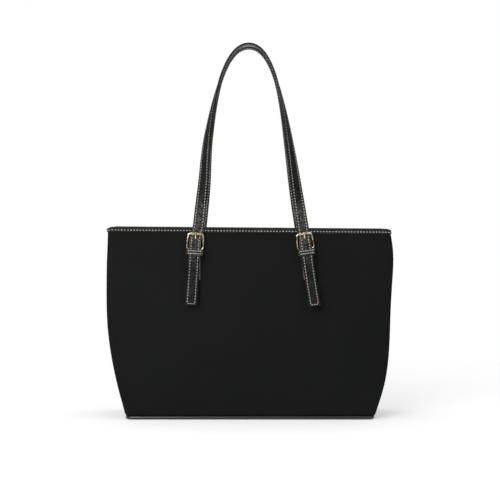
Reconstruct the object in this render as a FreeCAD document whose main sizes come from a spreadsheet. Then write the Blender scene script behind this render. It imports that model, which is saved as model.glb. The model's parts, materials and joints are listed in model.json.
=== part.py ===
import FreeCAD, Part
import math
import os

import Sketcher
from FreeCAD import Placement, Rotation, Vector

# An open-top diaper tote in faux leather, in millimetres: X across the bag, -Y towards its front, +Z up.
# The origin is the centre of the base's underside. Sheet pieces are flat patterns bent one way.

DIMENSIONS = {
    # Front outline: half widths of the body and the heights they belong to
    "FootHalfWidth": 192.2,
    "LowHalfWidth": 210.4,
    "ShoulderHalfWidth": 219.6,
    "WaistHalfWidth": 221.9,
    "TopHalfWidth": 218.7,
    "LowHeight": 75.0,
    "ShoulderHeight": 182.0,
    "WaistHeight": 243.0,
    # Side outline: half depths
    "FootHalfDepth": 61.0,
    "MidHalfDepth": 55.5,
    "TopHalfDepth": 42.0,
    "FootHeight": 6.0,
    "MidHeight": 150.0,
    "PanelTop": 293.0,
    # Sheet materials
    "LeatherThickness": 1.3,
    "LiningOuterInset": 2.2,
    "LiningThickness": 0.7,
    "LiningFoot": 6.0,
    "LiningOvercut": 5.0,
    "SeamGap": 0.3,
    # Base
    "BaseThickness": 1.6,
    "BoardBottom": 1.9,
    "BoardThickness": 3.0,
    "BoardInset": 3.0,
    "BaseHalfWidth": 185.4,
    "BaseHalfDepth": 57.2,
    "BaseCorner": 10.0,
    "PipingRadius": 2.8,
    "PipingHeight": 3.0,
    "PipingHalfWidth": 188.4,
    "PipingHalfDepth": 60.2,
    # Rim binding: an upside-down U folded over the top edges
    "RimTop": 295.0,
    "RimBottom": 286.4,
    "RimRoof": 293.4,
    "RimProud": 2.0,
    "RimGrooveOut": 1.1,
    "RimGrooveIn": 3.4,
    "RimInside": 4.3,
    "RimCorner": 2.5,
    "RimGrooveCorner": 0.4,
    # Straps and their buckles, laid out from the heel bar of each buckle
    "StrapWidth": 18.0,
    "StrapThickness": 3.0,
    "SplitHeight": 296.0,
    "SplitAboveHeel": 35.2,
    "SplitFace": -0.3,
    "SplitGap": 0.3,
    "HeelOffPanel": 4.9,
    "BarRadius": 1.5,
    "RollerRadius": 1.9,
    "RollerLength": 16.0,
    "TopBarRise": 23.5,
    "TopBarForward": 2.0,
    "FrameHalfWidth": 12.1,
    "FrameTopHalfWidth": 11.5,
    "FrameTopCorner": 3.2,
    "FrameHeelCorner": 5.0,
    "FrameSideBow": 0.2,
    "HeelHalfWidth": 9.6,
    "HeelBowInset": 0.6,
    "HeelBowRise": 1.3,
    "FoldClearance": 0.25,
    "TabThickness": 1.6,
    "TabDrop": 48.0,
    "TabFrontDrop": 9.6,
    "ProngSlotHalf": 2.3,
    "ProngSlotFoot": 4.0,
    "ProngSlotTop": 6.0,
    "CutThrough": 60.0,
    "KeeperTop": -1.4,
    "KeeperDrop": 8.8,
    "KeeperHalfWidth": 13.0,
    "KeeperThickness": 1.3,
    "KeeperCorner": 2.2,
    "KeeperFront": 8.3,
    "KeeperBack": 4.7,
    # Outer face of the strap's end, as distances into the bag from the heel bar
    "FaceAtRoller": 0.4,
    "FaceAtHeel": -6.6,
    "FaceAtKeeper": -6.7,
    "FaceAtHang": -4.4,
    "FaceAtTip": -6.8,
    "KeeperFoot": 10.0,
    "HangDrop": 42.0,
    "TailDrop": 87.0,
    "ProngRadius": 1.0,
    "ProngEyeRadius": 3.0,
    "ProngEyeHalfWidth": 1.8,
    "ProngEyeClearance": 0.08,
    "ProngRootForward": 0.3,
    "ProngRootRise": 2.4,
    "ProngBowForward": 2.2,
    "ProngBowRise": 14.4,
    "ProngTipForward": 6.2,
    "ProngTipRise": 25.8,
    "HoleHalfWidth": 1.6,
    "HoleFoot": 5.0,
    "HoleTop": 18.5,
    "HolePitch": 31.5,
    "HoleRadius": 1.4,
    # Handle arch, as the control points of each leg's curve
    "LeftSplitX": 82.8,
    "RightSplitX": 81.5,
    "LeftSlant": 3.5,
    "RightSlant": 8.0,
    "LeftLegPull": 68.0,
    "RightLegPull": 57.9,
    "LegPullHeight": 434.0,
    "CrownPull": 52.0,
    "CrownShift": 1.9,
    "CrownHeight": 582.5,
    "CrownHalfGap": 16.5,
    "TwistStart": 300.0,
    "TwistEnd": 530.0,
    # Zip closure: two flaps hinged inside the rim, each carrying half of the chain
    "FlapHalfLength": 171.0,
    "FlapHingeHalfDepth": 36.5,
    "FlapHingeHeight": 281.0,
    "FlapThickness": 1.6,
    "FlapRoot": 1.0,
    "FlapEdge": 25.0,
    "SewnGap": 0.1,
    "TapeThickness": 0.8,
    "TapeEdge": 33.2,
    "ToothRoot": 33.25,
    "ToothEdge": 37.2,
    "ToothWidth": 1.2,
    "ToothHeight": 2.2,
    "ToothPitch": 3.2,
    "FlapTeeth": 107,
    "StubStart": 177.0,
    "StubEnd": 197.0,
    "StubTeeth": 5,
    "StubFirstTooth": 179.2,
    "StopLength": 2.2,
    "EndTabHalfDepth": 13.0,
    "EndTabThickness": 3.2,
    "EndTabEnd": 216.85,
    "SliderPark": 179.2,
    # Zip sliders and their pulls, laid out from the chain's middle
    "SliderHalfLength": 5.7,
    "SliderHalfWidth": 4.8,
    "PlateInner": 1.7,
    "PlateOuter": 2.9,
    "PlateCorner": 1.4,
    "FlangeInner": 0.7,
    "FlangeWidth": 1.0,
    "WedgeLength": 2.2,
    "WedgeHalfWidth": 1.2,
    "BridgeHalfSpan": 3.6,
    "BridgeTop": 7.2,
    "BridgeThickness": 1.2,
    "BridgeWidth": 2.6,
    "PullBarHeight": 4.4,
    "PullBarRadius": 0.8,
    "PullHeel": 0.6,
    "PullArm": 6.0,
    "PullHole": 22.4,
    "PullHoleRadius": 1.6,
    "PullHalfWidth": 3.3,
    "PullArmWidth": 1.4,
    "PullThickness": 1.6,
    # Inner pockets
    "PocketHeight": 206.0,
    "PocketHalfLength": 92.0,
    "PocketHalfOpening": 6.0,
    "WeltWidth": 7.0,
    "WeltThickness": 2.8,
    "WeltCorner": 3.0,
    "WeltWindowCorner": 1.0,
    "PocketTapePlane": 3.2,
    "PocketTapeEdge": 3.65,
    "PocketToothRoot": 3.6,
    "PocketToothTip": 1.4,
    "PocketTeeth": 55,
    "PocketSliderPark": 82.0,
    "PocketBagOut": 1.5,
    "PocketBagIn": 2.0,
    "PocketBagFoot": 70.0,
    "SlipHalfLength": 150.0,
    "SlipFoot": 60.0,
    "SlipTop": 190.0,
    "SlipRoot": 0.5,
    "SlipMouth": 9.0,
    "SlipThickness": 0.9,
}
SHEET = "Dim"

doc = FreeCAD.newDocument("DiaperTote")
sheet = doc.addObject("Spreadsheet::Sheet", SHEET)
for row, (alias, dimension) in enumerate(DIMENSIONS.items(), start=1):
    sheet.set(f"A{row}", alias)
    sheet.set(f"B{row}", str(dimension))
    sheet.setAlias(f"B{row}", alias)
doc.recompute()

pieces = {}


def number(formula):
    """What a sheet formula comes to now."""
    return float(sheet.evalExpression(str(formula)))


def size(alias):
    return number(f"{SHEET}.{alias}")


def dim(alias):
    return f"{SHEET}.{alias}"


def keep(obj, label):
    """Marks an object as a finished sub-part."""
    obj.Label = label
    pieces[label] = obj
    return obj


# Sketches


def plane_of(body, role):
    return next(f for f in body.Origin.OriginFeatures if f.Role == role)


def body_sketch(body, name, role="XY_Plane", lift=None):
    """A sketch on one of the body's own origin planes, lifted along the plane's normal by a formula."""
    sketch = body.newObject("Sketcher::SketchObject", name)
    sketch.AttachmentSupport = (plane_of(body, role), [""])
    sketch.MapMode = "FlatFace"
    if lift is not None:
        sketch.setExpression(".AttachmentOffset.Base.z", lift)
    return sketch


def free_sketch(name, upright_in):
    """A sketch of the document, standing in the XZ or the YZ plane."""
    sketch = doc.addObject("Sketcher::SketchObject", name)
    turn = {"XZ": Rotation(Vector(1, 0, 0), 90), "YZ": Rotation(Vector(1, 1, 1), 120)}
    sketch.Placement = Placement(Vector(), turn[upright_in])
    return sketch


def pin_point(sketch, geometry, end, point):
    """Ties a sketch point to its two formulas."""
    for kind, formula in zip(("DistanceX", "DistanceY"), point):
        index = sketch.addConstraint(Sketcher.Constraint(kind, -1, 1, geometry, end, number(formula)))
        sketch.setExpression(f"Constraints[{index}]", str(formula))


def draw_outline(sketch, corners, bows=None, closed=True):
    """Straight sides between corners, or an arc through bows[side] where a side has one."""
    bows = bows or {}
    spots = [Vector(number(x), number(y), 0) for x, y in corners]
    sides = len(corners) if closed else len(corners) - 1
    ids = []
    for side in range(sides):
        start, end = spots[side], spots[(side + 1) % len(spots)]
        if side in bows:
            middle = Vector(number(bows[side][0]), number(bows[side][1]), 0)
            ids.append(sketch.addGeometry(Part.Arc(start, middle, end)))
        else:
            ids.append(sketch.addGeometry(Part.LineSegment(start, end)))

    def ends(side):
        """Sketcher's point numbers of a side's start and end, because an arc always runs anticlockwise."""
        flipped = sketch.getPoint(ids[side], 1).distanceToPoint(spots[side]) > 1e-6
        return (2, 1) if flipped else (1, 2)

    for side in range(sides):
        pin_point(sketch, ids[side], ends(side)[0], corners[side])
        if side + 1 < sides or closed:
            following = (side + 1) % sides
            sketch.addConstraint(
                Sketcher.Constraint(
                    "Coincident", ids[side], ends(side)[1], ids[following], ends(following)[0]
                )
            )
        else:
            pin_point(sketch, ids[side], ends(side)[1], corners[side + 1])
        if side in bows:
            x, y = bows[side]
            mark = sketch.addGeometry(Part.Point(Vector(number(x), number(y), 0)), True)
            pin_point(sketch, mark, 1, (x, y))
            sketch.addConstraint(Sketcher.Constraint("PointOnObject", mark, 1, ids[side]))


def draw_rounded_rectangle(sketch, half_x, half_y, radius):
    """A rectangle with rounded corners about the sketch's origin."""
    bow = 1 - math.sqrt(0.5)
    near_x, near_y = f"({half_x} - {radius})", f"({half_y} - {radius})"
    bow_x, bow_y = f"({half_x} - {bow} * {radius})", f"({half_y} - {bow} * {radius})"
    corners = [
        (f"-{near_x}", f"-({half_y})"),
        (near_x, f"-({half_y})"),
        (half_x, f"-{near_y}"),
        (half_x, near_y),
        (near_x, half_y),
        (f"-{near_x}", half_y),
        (f"-({half_x})", near_y),
        (f"-({half_x})", f"-{near_y}"),
    ]
    bows = {
        1: (bow_x, f"-{bow_y}"),
        3: (bow_x, bow_y),
        5: (f"-{bow_x}", bow_y),
        7: (f"-{bow_x}", f"-{bow_y}"),
    }
    draw_outline(sketch, corners, bows)


def draw_circle(sketch, centre, radius):
    index = sketch.addGeometry(
        Part.Circle(Vector(number(centre[0]), number(centre[1]), 0), Vector(0, 0, 1), number(radius))
    )
    pin_point(sketch, index, 3, centre)
    round_rule = sketch.addConstraint(Sketcher.Constraint("Radius", index, number(radius)))
    sketch.setExpression(f"Constraints[{round_rule}]", radius)


# Features


def new_body(label, placement=None):
    body = doc.addObject("PartDesign::Body", label)
    if placement is not None:
        body.Placement = placement
    return keep(body, label)


def pad(body, sketch, length, both_ways=False):
    feature = body.newObject("PartDesign::Pad", f"{sketch.Name}_pad")
    feature.Profile = sketch
    if both_ways:
        feature.SideType = "Symmetric"
    feature.setExpression("Length", length)
    doc.recompute()
    return feature


def pocket(body, sketch, length, both_ways=False, upwards=False):
    """Cuts a sketch's shape out of the body, and checks that it removed something."""
    before = body.Shape.Volume
    feature = body.newObject("PartDesign::Pocket", f"{sketch.Name}_pocket")
    feature.Profile = sketch
    feature.Reversed = upwards
    if both_ways:
        feature.SideType = "Symmetric"
    feature.setExpression("Length", length)
    doc.recompute()
    if body.Shape.Volume > before - 1e-3:
        raise RuntimeError(f"{feature.Name} removed nothing")
    return feature


def pipe(body, profile, spine):
    feature = body.newObject("PartDesign::AdditivePipe", f"{profile.Name}_pipe")
    feature.Profile = profile
    feature.Spine = spine
    doc.recompute()
    return feature


def extrude(name, sketch, direction, length):
    feature = doc.addObject("Part::Extrusion", name)
    feature.Base = sketch
    feature.DirMode = "Custom"
    feature.Dir = direction
    feature.Solid = True
    feature.Symmetric = True
    feature.setExpression("LengthFwd", length)
    return feature


def common(name, first, second):
    feature = doc.addObject("Part::Common", name)
    feature.Base = first
    feature.Tool = second
    return feature


def cut(name, base, tool):
    feature = doc.addObject("Part::Cut", name)
    feature.Base = base
    feature.Tool = tool
    return feature


def box(name, low, high):
    """A box between two corners given as formulas."""
    feature = doc.addObject("Part::Box", name)
    for axis, side, a, b in zip("xyz", ("Length", "Width", "Height"), low, high):
        feature.setExpression(f".Placement.Base.{axis}", str(a))
        feature.setExpression(side, f"({b}) - ({a})")
    return feature


def mirror(label, source, normal):
    feature = doc.addObject("Part::Mirroring", label)
    feature.Source = source
    feature.Normal = normal
    feature.Base = Vector(0, 0, 0)
    return keep(feature, label)


# The shell: outlines shared by the panels, gussets, lining and pockets


def depth_points(inset, side):
    """The side outline's foot, middle and top as (y, z) formulas, moved inwards by inset."""
    return [
        (f"{side} * ({dim(half)} - ({inset}))", dim(height))
        for half, height in (
            ("FootHalfDepth", "FootHeight"),
            ("MidHalfDepth", "MidHeight"),
            ("TopHalfDepth", "PanelTop"),
        )
    ]


def width_points(inset, side):
    """The front outline's foot, low bow, shoulder, waist bow and top as (x, z) formulas."""
    return [
        (f"{side} * ({dim(half)} - ({inset}))", dim(height))
        for half, height in (
            ("FootHalfWidth", "FootHeight"),
            ("LowHalfWidth", "LowHeight"),
            ("ShoulderHalfWidth", "ShoulderHeight"),
            ("WaistHalfWidth", "WaistHeight"),
            ("TopHalfWidth", "PanelTop"),
        )
    ]


def side_block(name, inset, foot, top):
    """The bag's side outline as a block along X."""
    sketch = free_sketch(f"{name}_side", "YZ")
    front, back = depth_points(inset, -1), depth_points(inset, 1)
    corners = [(front[0][0], foot), (back[0][0], foot), (back[2][0], top), (front[2][0], top)]
    draw_outline(sketch, corners, {1: back[1], 3: front[1]})
    return extrude(f"{name}_side_block", sketch, Vector(1, 0, 0), f"3 * {dim('WaistHalfWidth')}")


def front_block(name, inset, foot, top):
    """The bag's front outline as a block along Y."""
    sketch = free_sketch(f"{name}_front", "XZ")
    right, left = width_points(inset, 1), width_points(inset, -1)
    corners = [
        (left[0][0], foot),
        (right[0][0], foot),
        right[2],
        (right[4][0], top),
        (left[4][0], top),
        left[2],
    ]
    bows = {1: right[1], 2: right[3], 4: left[3], 5: left[1]}
    draw_outline(sketch, corners, bows)
    return extrude(f"{name}_front_block", sketch, Vector(0, 1, 0), f"4 * {dim('FootHalfDepth')}")


def bag_block(name, inset, foot, top):
    """The solid whose faces lie inset inside the bag's outer faces."""
    return common(f"{name}_block", side_block(name, inset, foot, top), front_block(name, inset, foot, top))


def depth_strip(name, side, outer, inner, half_length):
    """A sheet that follows the front (side -1) or the back (side 1), between two insets."""
    sketch = free_sketch(f"{name}_strip", "YZ")
    out, into = depth_points(outer, side), depth_points(inner, side)
    draw_outline(sketch, [out[0], out[2], into[2], into[0]], {0: out[1], 2: into[1]})
    return extrude(f"{name}_strip_block", sketch, Vector(1, 0, 0), f"2 * ({half_length})")


def width_strip(name, outer, inner):
    """A sheet that follows the right-hand side."""
    sketch = free_sketch(f"{name}_strip", "XZ")
    out, into = width_points(outer, 1), width_points(inner, 1)
    corners = [out[0], out[2], out[4], into[4], into[2], into[0]]
    draw_outline(sketch, corners, {0: out[1], 1: out[3], 3: into[3], 4: into[1]})
    return extrude(f"{name}_strip_block", sketch, Vector(0, 1, 0), f"4 * {dim('FootHalfDepth')}")


def make_shell():
    leather, gap = dim("LeatherThickness"), dim("SeamGap")
    foot, top = dim("FootHeight"), dim("PanelTop")
    front_sheet = depth_strip("front_panel", -1, "0", leather, f"2 * {dim('WaistHalfWidth')}")
    front_shape = front_block("front_panel", f"{leather} + {gap}", foot, top)
    front = keep(common("front_panel", front_sheet, front_shape), "front_panel")
    mirror("back_panel", front, Vector(0, 1, 0))
    gusset_sheet = width_strip("right_gusset", "0", leather)
    gusset_shape = side_block("right_gusset", "0", foot, top)
    right = keep(common("right_gusset", gusset_sheet, gusset_shape), "right_gusset")
    mirror("left_gusset", right, Vector(1, 0, 0))


def make_base():
    base = new_body("base_panel")
    sketch = body_sketch(base, "base_outline")
    draw_rounded_rectangle(sketch, dim("BaseHalfWidth"), dim("BaseHalfDepth"), dim("BaseCorner"))
    pad(base, sketch, dim("BaseThickness"))

    board = new_body("base_board")
    sketch = body_sketch(board, "board_outline", lift=dim("BoardBottom"))
    draw_rounded_rectangle(
        sketch,
        f"({dim('BaseHalfWidth')} - {dim('BoardInset')})",
        f"({dim('BaseHalfDepth')} - {dim('BoardInset')})",
        dim("BaseCorner"),
    )
    pad(board, sketch, dim("BoardThickness"))

    piping = new_body("base_piping")
    path = body_sketch(piping, "piping_path", lift=dim("PipingHeight"))
    draw_rounded_rectangle(path, dim("PipingHalfWidth"), dim("PipingHalfDepth"), dim("BaseCorner"))
    profile = body_sketch(
        piping, "piping_profile", "YZ_Plane", f"-({dim('PipingHalfWidth')} - {dim('BaseCorner')})"
    )
    draw_circle(profile, (f"-{dim('PipingHalfDepth')}", dim("PipingHeight")), dim("PipingRadius"))
    pipe(piping, profile, path)


def rim_loop(sketch, offset, corner):
    draw_rounded_rectangle(
        sketch, f"({dim('TopHalfWidth')} + {offset})", f"({dim('TopHalfDepth')} + {offset})", corner
    )


def make_rim():
    rim = new_body("rim_binding")
    ring = body_sketch(rim, "rim_ring", lift=dim("RimBottom"))
    rim_loop(ring, dim("RimProud"), dim("RimCorner"))
    rim_loop(ring, f"-{dim('RimInside')}", dim("RimCorner"))
    pad(rim, ring, f"{dim('RimTop')} - {dim('RimBottom')}")
    groove = body_sketch(rim, "rim_groove", lift=dim("RimBottom"))
    rim_loop(groove, dim("RimGrooveOut"), dim("RimGrooveCorner"))
    rim_loop(groove, f"-{dim('RimGrooveIn')}", dim("RimGrooveCorner"))
    pocket(rim, groove, f"{dim('RimRoof')} - {dim('RimBottom')}", upwards=True)


def make_lining():
    outer, inner = dim("LiningOuterInset"), f"{dim('LiningOuterInset')} + {dim('LiningThickness')}"
    foot, top = dim("LiningFoot"), dim("PanelTop")
    outside = bag_block("lining_outside", outer, foot, top)
    floor, above = f"{foot} + {dim('LiningThickness')}", f"{top} + {dim('LiningOvercut')}"
    hollow = bag_block("lining_hollow", inner, floor, above)
    tub = cut("lining_tub", outside, hollow)
    half, opening, height = dim("PocketHalfLength"), dim("PocketHalfOpening"), dim("PocketHeight")
    slit = box(
        "lining_slit",
        (f"-{half}", "0", f"{height} - {opening}"),
        (half, dim("FootHalfDepth"), f"{height} + {opening}"),
    )
    keep(cut("lining", tub, slit), "lining")


# Straps, buckles, prongs, keepers and anchor tabs


def half_depth_at(height):
    """The half depth of the bag's outer face at a height, from the arc through its three points."""
    through = [Vector(number(y), number(z), 0) for y, z in depth_points("0", 1)]
    arc = Part.Arc(*through).toShape().Curve
    centre = arc.Center
    return centre.x + math.sqrt(arc.Radius**2 - (height - centre.y) ** 2)


def panel_lean():
    """How far the front panel leans back from upright beside the buckles, in degrees."""
    low = size("SplitHeight") - size("SplitAboveHeel") - size("TabDrop")
    high = size("SplitHeight") - size("SplitAboveHeel") / 3
    return math.degrees(math.atan((half_depth_at(low) - half_depth_at(high)) / (high - low)))


def heel_frame(side):
    """Placement of a front buckle's heel bar: x along the bar, y into the bag, z up the strap."""
    slant = size("LeftSlant") if side < 0 else -size("RightSlant")
    turn = Rotation(Vector(0, 1, 0), slant).multiply(Rotation(Vector(1, 0, 0), -panel_lean()))
    split_x = -size("LeftSplitX") if side < 0 else size("RightSplitX")
    up = turn.multVec(Vector(0, 0, 1))
    drop = size("SplitAboveHeel")
    heel_z = size("SplitHeight") - drop * up.z
    heel_y = -(half_depth_at(heel_z) + size("HeelOffPanel") / math.cos(math.radians(panel_lean())))
    return Placement(Vector(split_x - drop * up.x, heel_y, heel_z), turn)


def make_anchor_tab(label, frame):
    """A strip folded over the heel bar, with a slot for the prong's eye."""
    tab = new_body(label, frame)
    inner = f"({dim('BarRadius')} + {dim('FoldClearance')})"
    outer = f"({inner} + {dim('TabThickness')})"
    profile = body_sketch(tab, f"{label}_fold", "YZ_Plane")
    corners = [
        (outer, f"-{dim('TabDrop')}"),
        (outer, "0"),
        (f"-{outer}", "0"),
        (f"-{outer}", f"-{dim('TabFrontDrop')}"),
        (f"-{inner}", f"-{dim('TabFrontDrop')}"),
        (f"-{inner}", "0"),
        (inner, "0"),
        (inner, f"-{dim('TabDrop')}"),
    ]
    draw_outline(profile, corners, {1: ("0", outer), 5: ("0", inner)})
    pad(tab, profile, dim("StrapWidth"), both_ways=True)
    slot = body_sketch(tab, f"{label}_slot", "XZ_Plane")
    half, foot, top = dim("ProngSlotHalf"), f"-{dim('ProngSlotFoot')}", dim("ProngSlotTop")
    draw_outline(slot, [(f"-{half}", foot), (half, foot), (half, top), (f"-{half}", top)])
    pocket(tab, slot, dim("CutThrough"), both_ways=True)


def make_buckle(label, frame):
    """A round-wire frame bowed at its sides, with a thicker roller on the bar away from the heel."""
    buckle = new_body(label, frame)
    rise, forward = dim("TopBarRise"), dim("TopBarForward")
    leaning = math.degrees(math.atan(size("TopBarForward") / size("TopBarRise")))
    path = body_sketch(buckle, f"{label}_path", "XZ_Plane")
    path.AttachmentOffset = Placement(Vector(), Rotation(Vector(1, 0, 0), leaning))
    wide, narrow, heel = dim("FrameHalfWidth"), dim("FrameTopHalfWidth"), dim("HeelHalfWidth")
    round_top, round_heel = dim("FrameTopCorner"), dim("FrameHeelCorner")
    corners = [
        (f"-{heel}", "0"),
        (heel, "0"),
        (f"{wide}", round_heel),
        (narrow, f"{rise} - {round_top}"),
        (f"{narrow} - {round_top}", rise),
        (f"-({narrow} - {round_top})", rise),
        (f"-{narrow}", f"{rise} - {round_top}"),
        (f"-{wide}", round_heel),
    ]
    bow = 1 - math.sqrt(0.5)
    side_bow, side_rise = f"({wide} + {dim('FrameSideBow')})", f"({rise} / 2)"
    heel_bow = (f"({wide} - {dim('HeelBowInset')})", dim("HeelBowRise"))
    top_bow = (f"({narrow} - {bow} * {round_top})", f"({rise} - {bow} * {round_top})")
    bows = {
        1: heel_bow,
        2: (side_bow, side_rise),
        3: top_bow,
        5: (f"-{top_bow[0]}", top_bow[1]),
        6: (f"-{side_bow}", side_rise),
        7: (f"-{heel_bow[0]}", heel_bow[1]),
    }
    draw_outline(path, corners, bows)
    profile = body_sketch(buckle, f"{label}_wire", "YZ_Plane", f"-{heel}")
    draw_circle(profile, ("0", "0"), dim("BarRadius"))
    pipe(buckle, profile, path)
    roller = body_sketch(buckle, f"{label}_roller", "YZ_Plane")
    draw_circle(roller, (f"-{forward}", rise), dim("RollerRadius"))
    pad(buckle, roller, dim("RollerLength"), both_ways=True)


def make_prong(label, frame):
    """An eye round the heel bar and a bent shank whose tip rests on the roller."""
    prong = new_body(label, frame)
    eye = body_sketch(prong, f"{label}_eye", "YZ_Plane")
    draw_circle(eye, ("0", "0"), dim("ProngEyeRadius"))
    draw_circle(eye, ("0", "0"), f"{dim('BarRadius')} + {dim('ProngEyeClearance')}")
    pad(prong, eye, f"2 * {dim('ProngEyeHalfWidth')}", both_ways=True)
    spine = body_sketch(prong, f"{label}_spine", "YZ_Plane")
    root, root_forward = dim("ProngRootRise"), f"-{dim('ProngRootForward')}"
    tip = (f"-{dim('ProngTipForward')}", dim("ProngTipRise"))
    bow = (f"-{dim('ProngBowForward')}", dim("ProngBowRise"))
    draw_outline(spine, [(root_forward, root), tip], {0: bow}, closed=False)
    profile = body_sketch(prong, f"{label}_shank", "XY_Plane", root)
    draw_circle(profile, ("0", root_forward), dim("ProngRadius"))
    pipe(prong, profile, spine)


def make_keeper(label, frame):
    """A leather loop round the strap and the tab, just under the buckle."""
    keeper = new_body(label, frame)
    sketch = body_sketch(keeper, f"{label}_loop", lift=f"{dim('KeeperTop')} - {dim('KeeperDrop')}")
    mid = f"({dim('KeeperBack')} - {dim('KeeperFront')}) / 2"
    half = f"({dim('KeeperBack')} + {dim('KeeperFront')}) / 2"
    sketch.setExpression(".AttachmentOffset.Base.y", mid)
    thick = dim("KeeperThickness")
    corner = dim("KeeperCorner")
    draw_rounded_rectangle(sketch, dim("KeeperHalfWidth"), half, corner)
    inner_width, inner_half = f"({dim('KeeperHalfWidth')} - {thick})", f"({half} - {thick})"
    draw_rounded_rectangle(sketch, inner_width, inner_half, f"({corner} - {thick})")
    pad(keeper, sketch, dim("KeeperDrop"))


def make_strap_end(label, frame):
    """The strap's end: behind the roller, over the heel bar, through the keeper and down to its tip."""
    strap = new_body(label, frame)
    profile = body_sketch(strap, f"{label}_side", "YZ_Plane")
    thick, drop = dim("StrapThickness"), dim("TailDrop")
    split = f"({dim('SplitAboveHeel')} - {dim('SplitGap')})"
    face = [
        (dim("SplitFace"), split),
        (dim("FaceAtRoller"), dim("TopBarRise")),
        (dim("FaceAtHeel"), "0"),
        (dim("FaceAtKeeper"), f"-{dim('KeeperFoot')}"),
        (dim("FaceAtTip"), f"-{drop}"),
    ]
    back = [(f"{y} + {thick}", z) for y, z in reversed(face)]
    hang, hang_face = f"-{dim('HangDrop')}", dim("FaceAtHang")
    bows = {3: (hang_face, hang), 5: (f"{hang_face} + {thick}", hang)}
    draw_outline(profile, face + back, bows)
    pad(strap, profile, dim("StrapWidth"), both_ways=True)
    slot = body_sketch(strap, f"{label}_holes", "XZ_Plane")
    half, foot, top = dim("HoleHalfWidth"), dim("HoleFoot"), dim("HoleTop")
    draw_outline(slot, [(f"-{half}", foot), (half, foot), (half, top), (f"-{half}", top)])
    draw_circle(slot, ("0", f"{top} - {half} - {dim('HolePitch')}"), dim("HoleRadius"))
    pocket(strap, slot, dim("CutThrough"), both_ways=True)


def punched_hole(frame):
    """The cutter for the spare hole just above a buckle."""
    rise = size("HoleTop") - size("HoleHalfWidth") + size("HolePitch")
    reach = 4 * size("StrapThickness")
    start = frame.multVec(Vector(0, -reach, rise))
    inwards = frame.Rotation.multVec(Vector(0, 1, 0))
    return Part.makeCylinder(size("HoleRadius"), 2 * reach, start, inwards)


def bezier(points, t):
    weights = ((1 - t) ** 3, 3 * (1 - t) ** 2 * t, 3 * (1 - t) * t**2, t**3)
    return sum((p * w for p, w in zip(points, weights)), Vector())


def direction_at(points, t):
    near = 1e-4
    return (bezier(points, min(1, t + near)) - bezier(points, max(0, t - near))).normalize()


def leg_points(frame, pull_x, side, crown):
    """Control points of one leg's curve, from the top of the strap's end to the crown."""
    strap_middle = size("SplitFace") + size("StrapThickness") / 2
    start = frame.multVec(Vector(0, strap_middle, size("SplitAboveHeel")))
    up = frame.Rotation.multVec(Vector(0, 0, 1))
    rise = size("LegPullHeight") - start.z
    pull = Vector(pull_x, start.y + rise * up.y / up.z, size("LegPullHeight"))
    return [start, pull, crown + Vector(side * size("CrownPull"), 0, 0), crown]


def strap_section(centre, across, normal):
    """The strap's outline across a point of its middle line."""
    half_across = across * (size("StrapWidth") / 2)
    half_normal = normal * (size("StrapThickness") / 2)
    ring = [
        centre - half_across - half_normal,
        centre + half_across - half_normal,
        centre + half_across + half_normal,
        centre - half_across + half_normal,
    ]
    return Part.makePolygon(ring + ring[:1])


def twisted_section(centre, forward):
    """The strap's cross-section, flat to the front low down and edge-on near the crown."""
    outward = forward.cross(Vector(0, 1, 0)).normalize()
    facing = (Vector(0, -1, 0) + forward * forward.y).normalize()
    turned = (centre.z - size("TwistStart")) / (size("TwistEnd") - size("TwistStart"))
    angle = math.pi / 2 * min(1.0, max(0.0, turned))
    normal = facing * math.cos(angle) + outward * math.sin(angle)
    return strap_section(centre, forward.cross(normal).normalize(), normal)


def leg_sections(frame, pull_x, side, crown, steps=12):
    """Cross-sections of one leg, from its foot, which matches the strap's end, up to the crown."""
    points = leg_points(frame, pull_x, side, crown)
    across = frame.Rotation.multVec(Vector(-side, 0, 0))
    facing = frame.Rotation.multVec(Vector(0, -1, 0))
    sections = [strap_section(points[0], across, facing)]
    for step in range(1, steps + 1):
        t = step / steps
        sections.append(twisted_section(bezier(points, t), direction_at(points, t) * -side))
    return sections


def make_handle(label, left, right):
    """The carrying arch: each leg starts flat against the front and turns edge-on before the crown."""
    crown = Vector(-size("CrownShift"), -size("CrownHalfGap"), size("CrownHeight"))
    left_leg = leg_sections(left, -size("LeftLegPull"), -1, crown)
    right_leg = leg_sections(right, size("RightLegPull"), 1, crown)
    arch = doc.addObject("Part::Feature", label)
    loft = Part.makeLoft(left_leg + right_leg[-2::-1], True, False)
    arch.Shape = loft.cut([punched_hole(left), punched_hole(right)])
    return keep(arch, label)


def make_front_straps():
    frames = {"left": heel_frame(-1), "right": heel_frame(1)}
    for side, frame in frames.items():
        make_anchor_tab(f"front_{side}_anchor_tab", frame)
        make_buckle(f"front_{side}_buckle", frame)
        make_prong(f"front_{side}_prong", frame)
        make_keeper(f"front_{side}_keeper", frame)
        make_strap_end(f"front_{side}_strap_end", frame)
    make_handle("front_handle", frames["left"], frames["right"])


def mirror_straps_to_back():
    for label in [name for name in pieces if name.startswith("front_") and name != "front_panel"]:
        mirror(label.replace("front_", "back_", 1), pieces[label], Vector(0, 1, 0))


# The zip closure


def make_teeth(label, frame, rows, count):
    """Rows of teeth along x, each row given by its first tooth's x and its low and high (y, z) corners."""
    body = new_body(label, frame)
    teeth = []
    for index, (first, low, high) in enumerate(rows):
        sketch = body_sketch(body, f"{label}_tooth{index}", "YZ_Plane", first)
        draw_outline(sketch, [low, (high[0], low[1]), high, (low[0], high[1])])
        teeth.append(pad(body, sketch, dim("ToothWidth"), both_ways=True))
    pattern = body.newObject("PartDesign::LinearPattern", f"{label}_row")
    pattern.Originals = teeth
    pattern.Direction = (plane_of(body, "X_Axis"), [""])
    pattern.Mode = "Spacing"
    pattern.setExpression("Offset", dim("ToothPitch"))
    pattern.setExpression("Occurrences", count)
    body.Tip = pattern
    doc.recompute()


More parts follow.
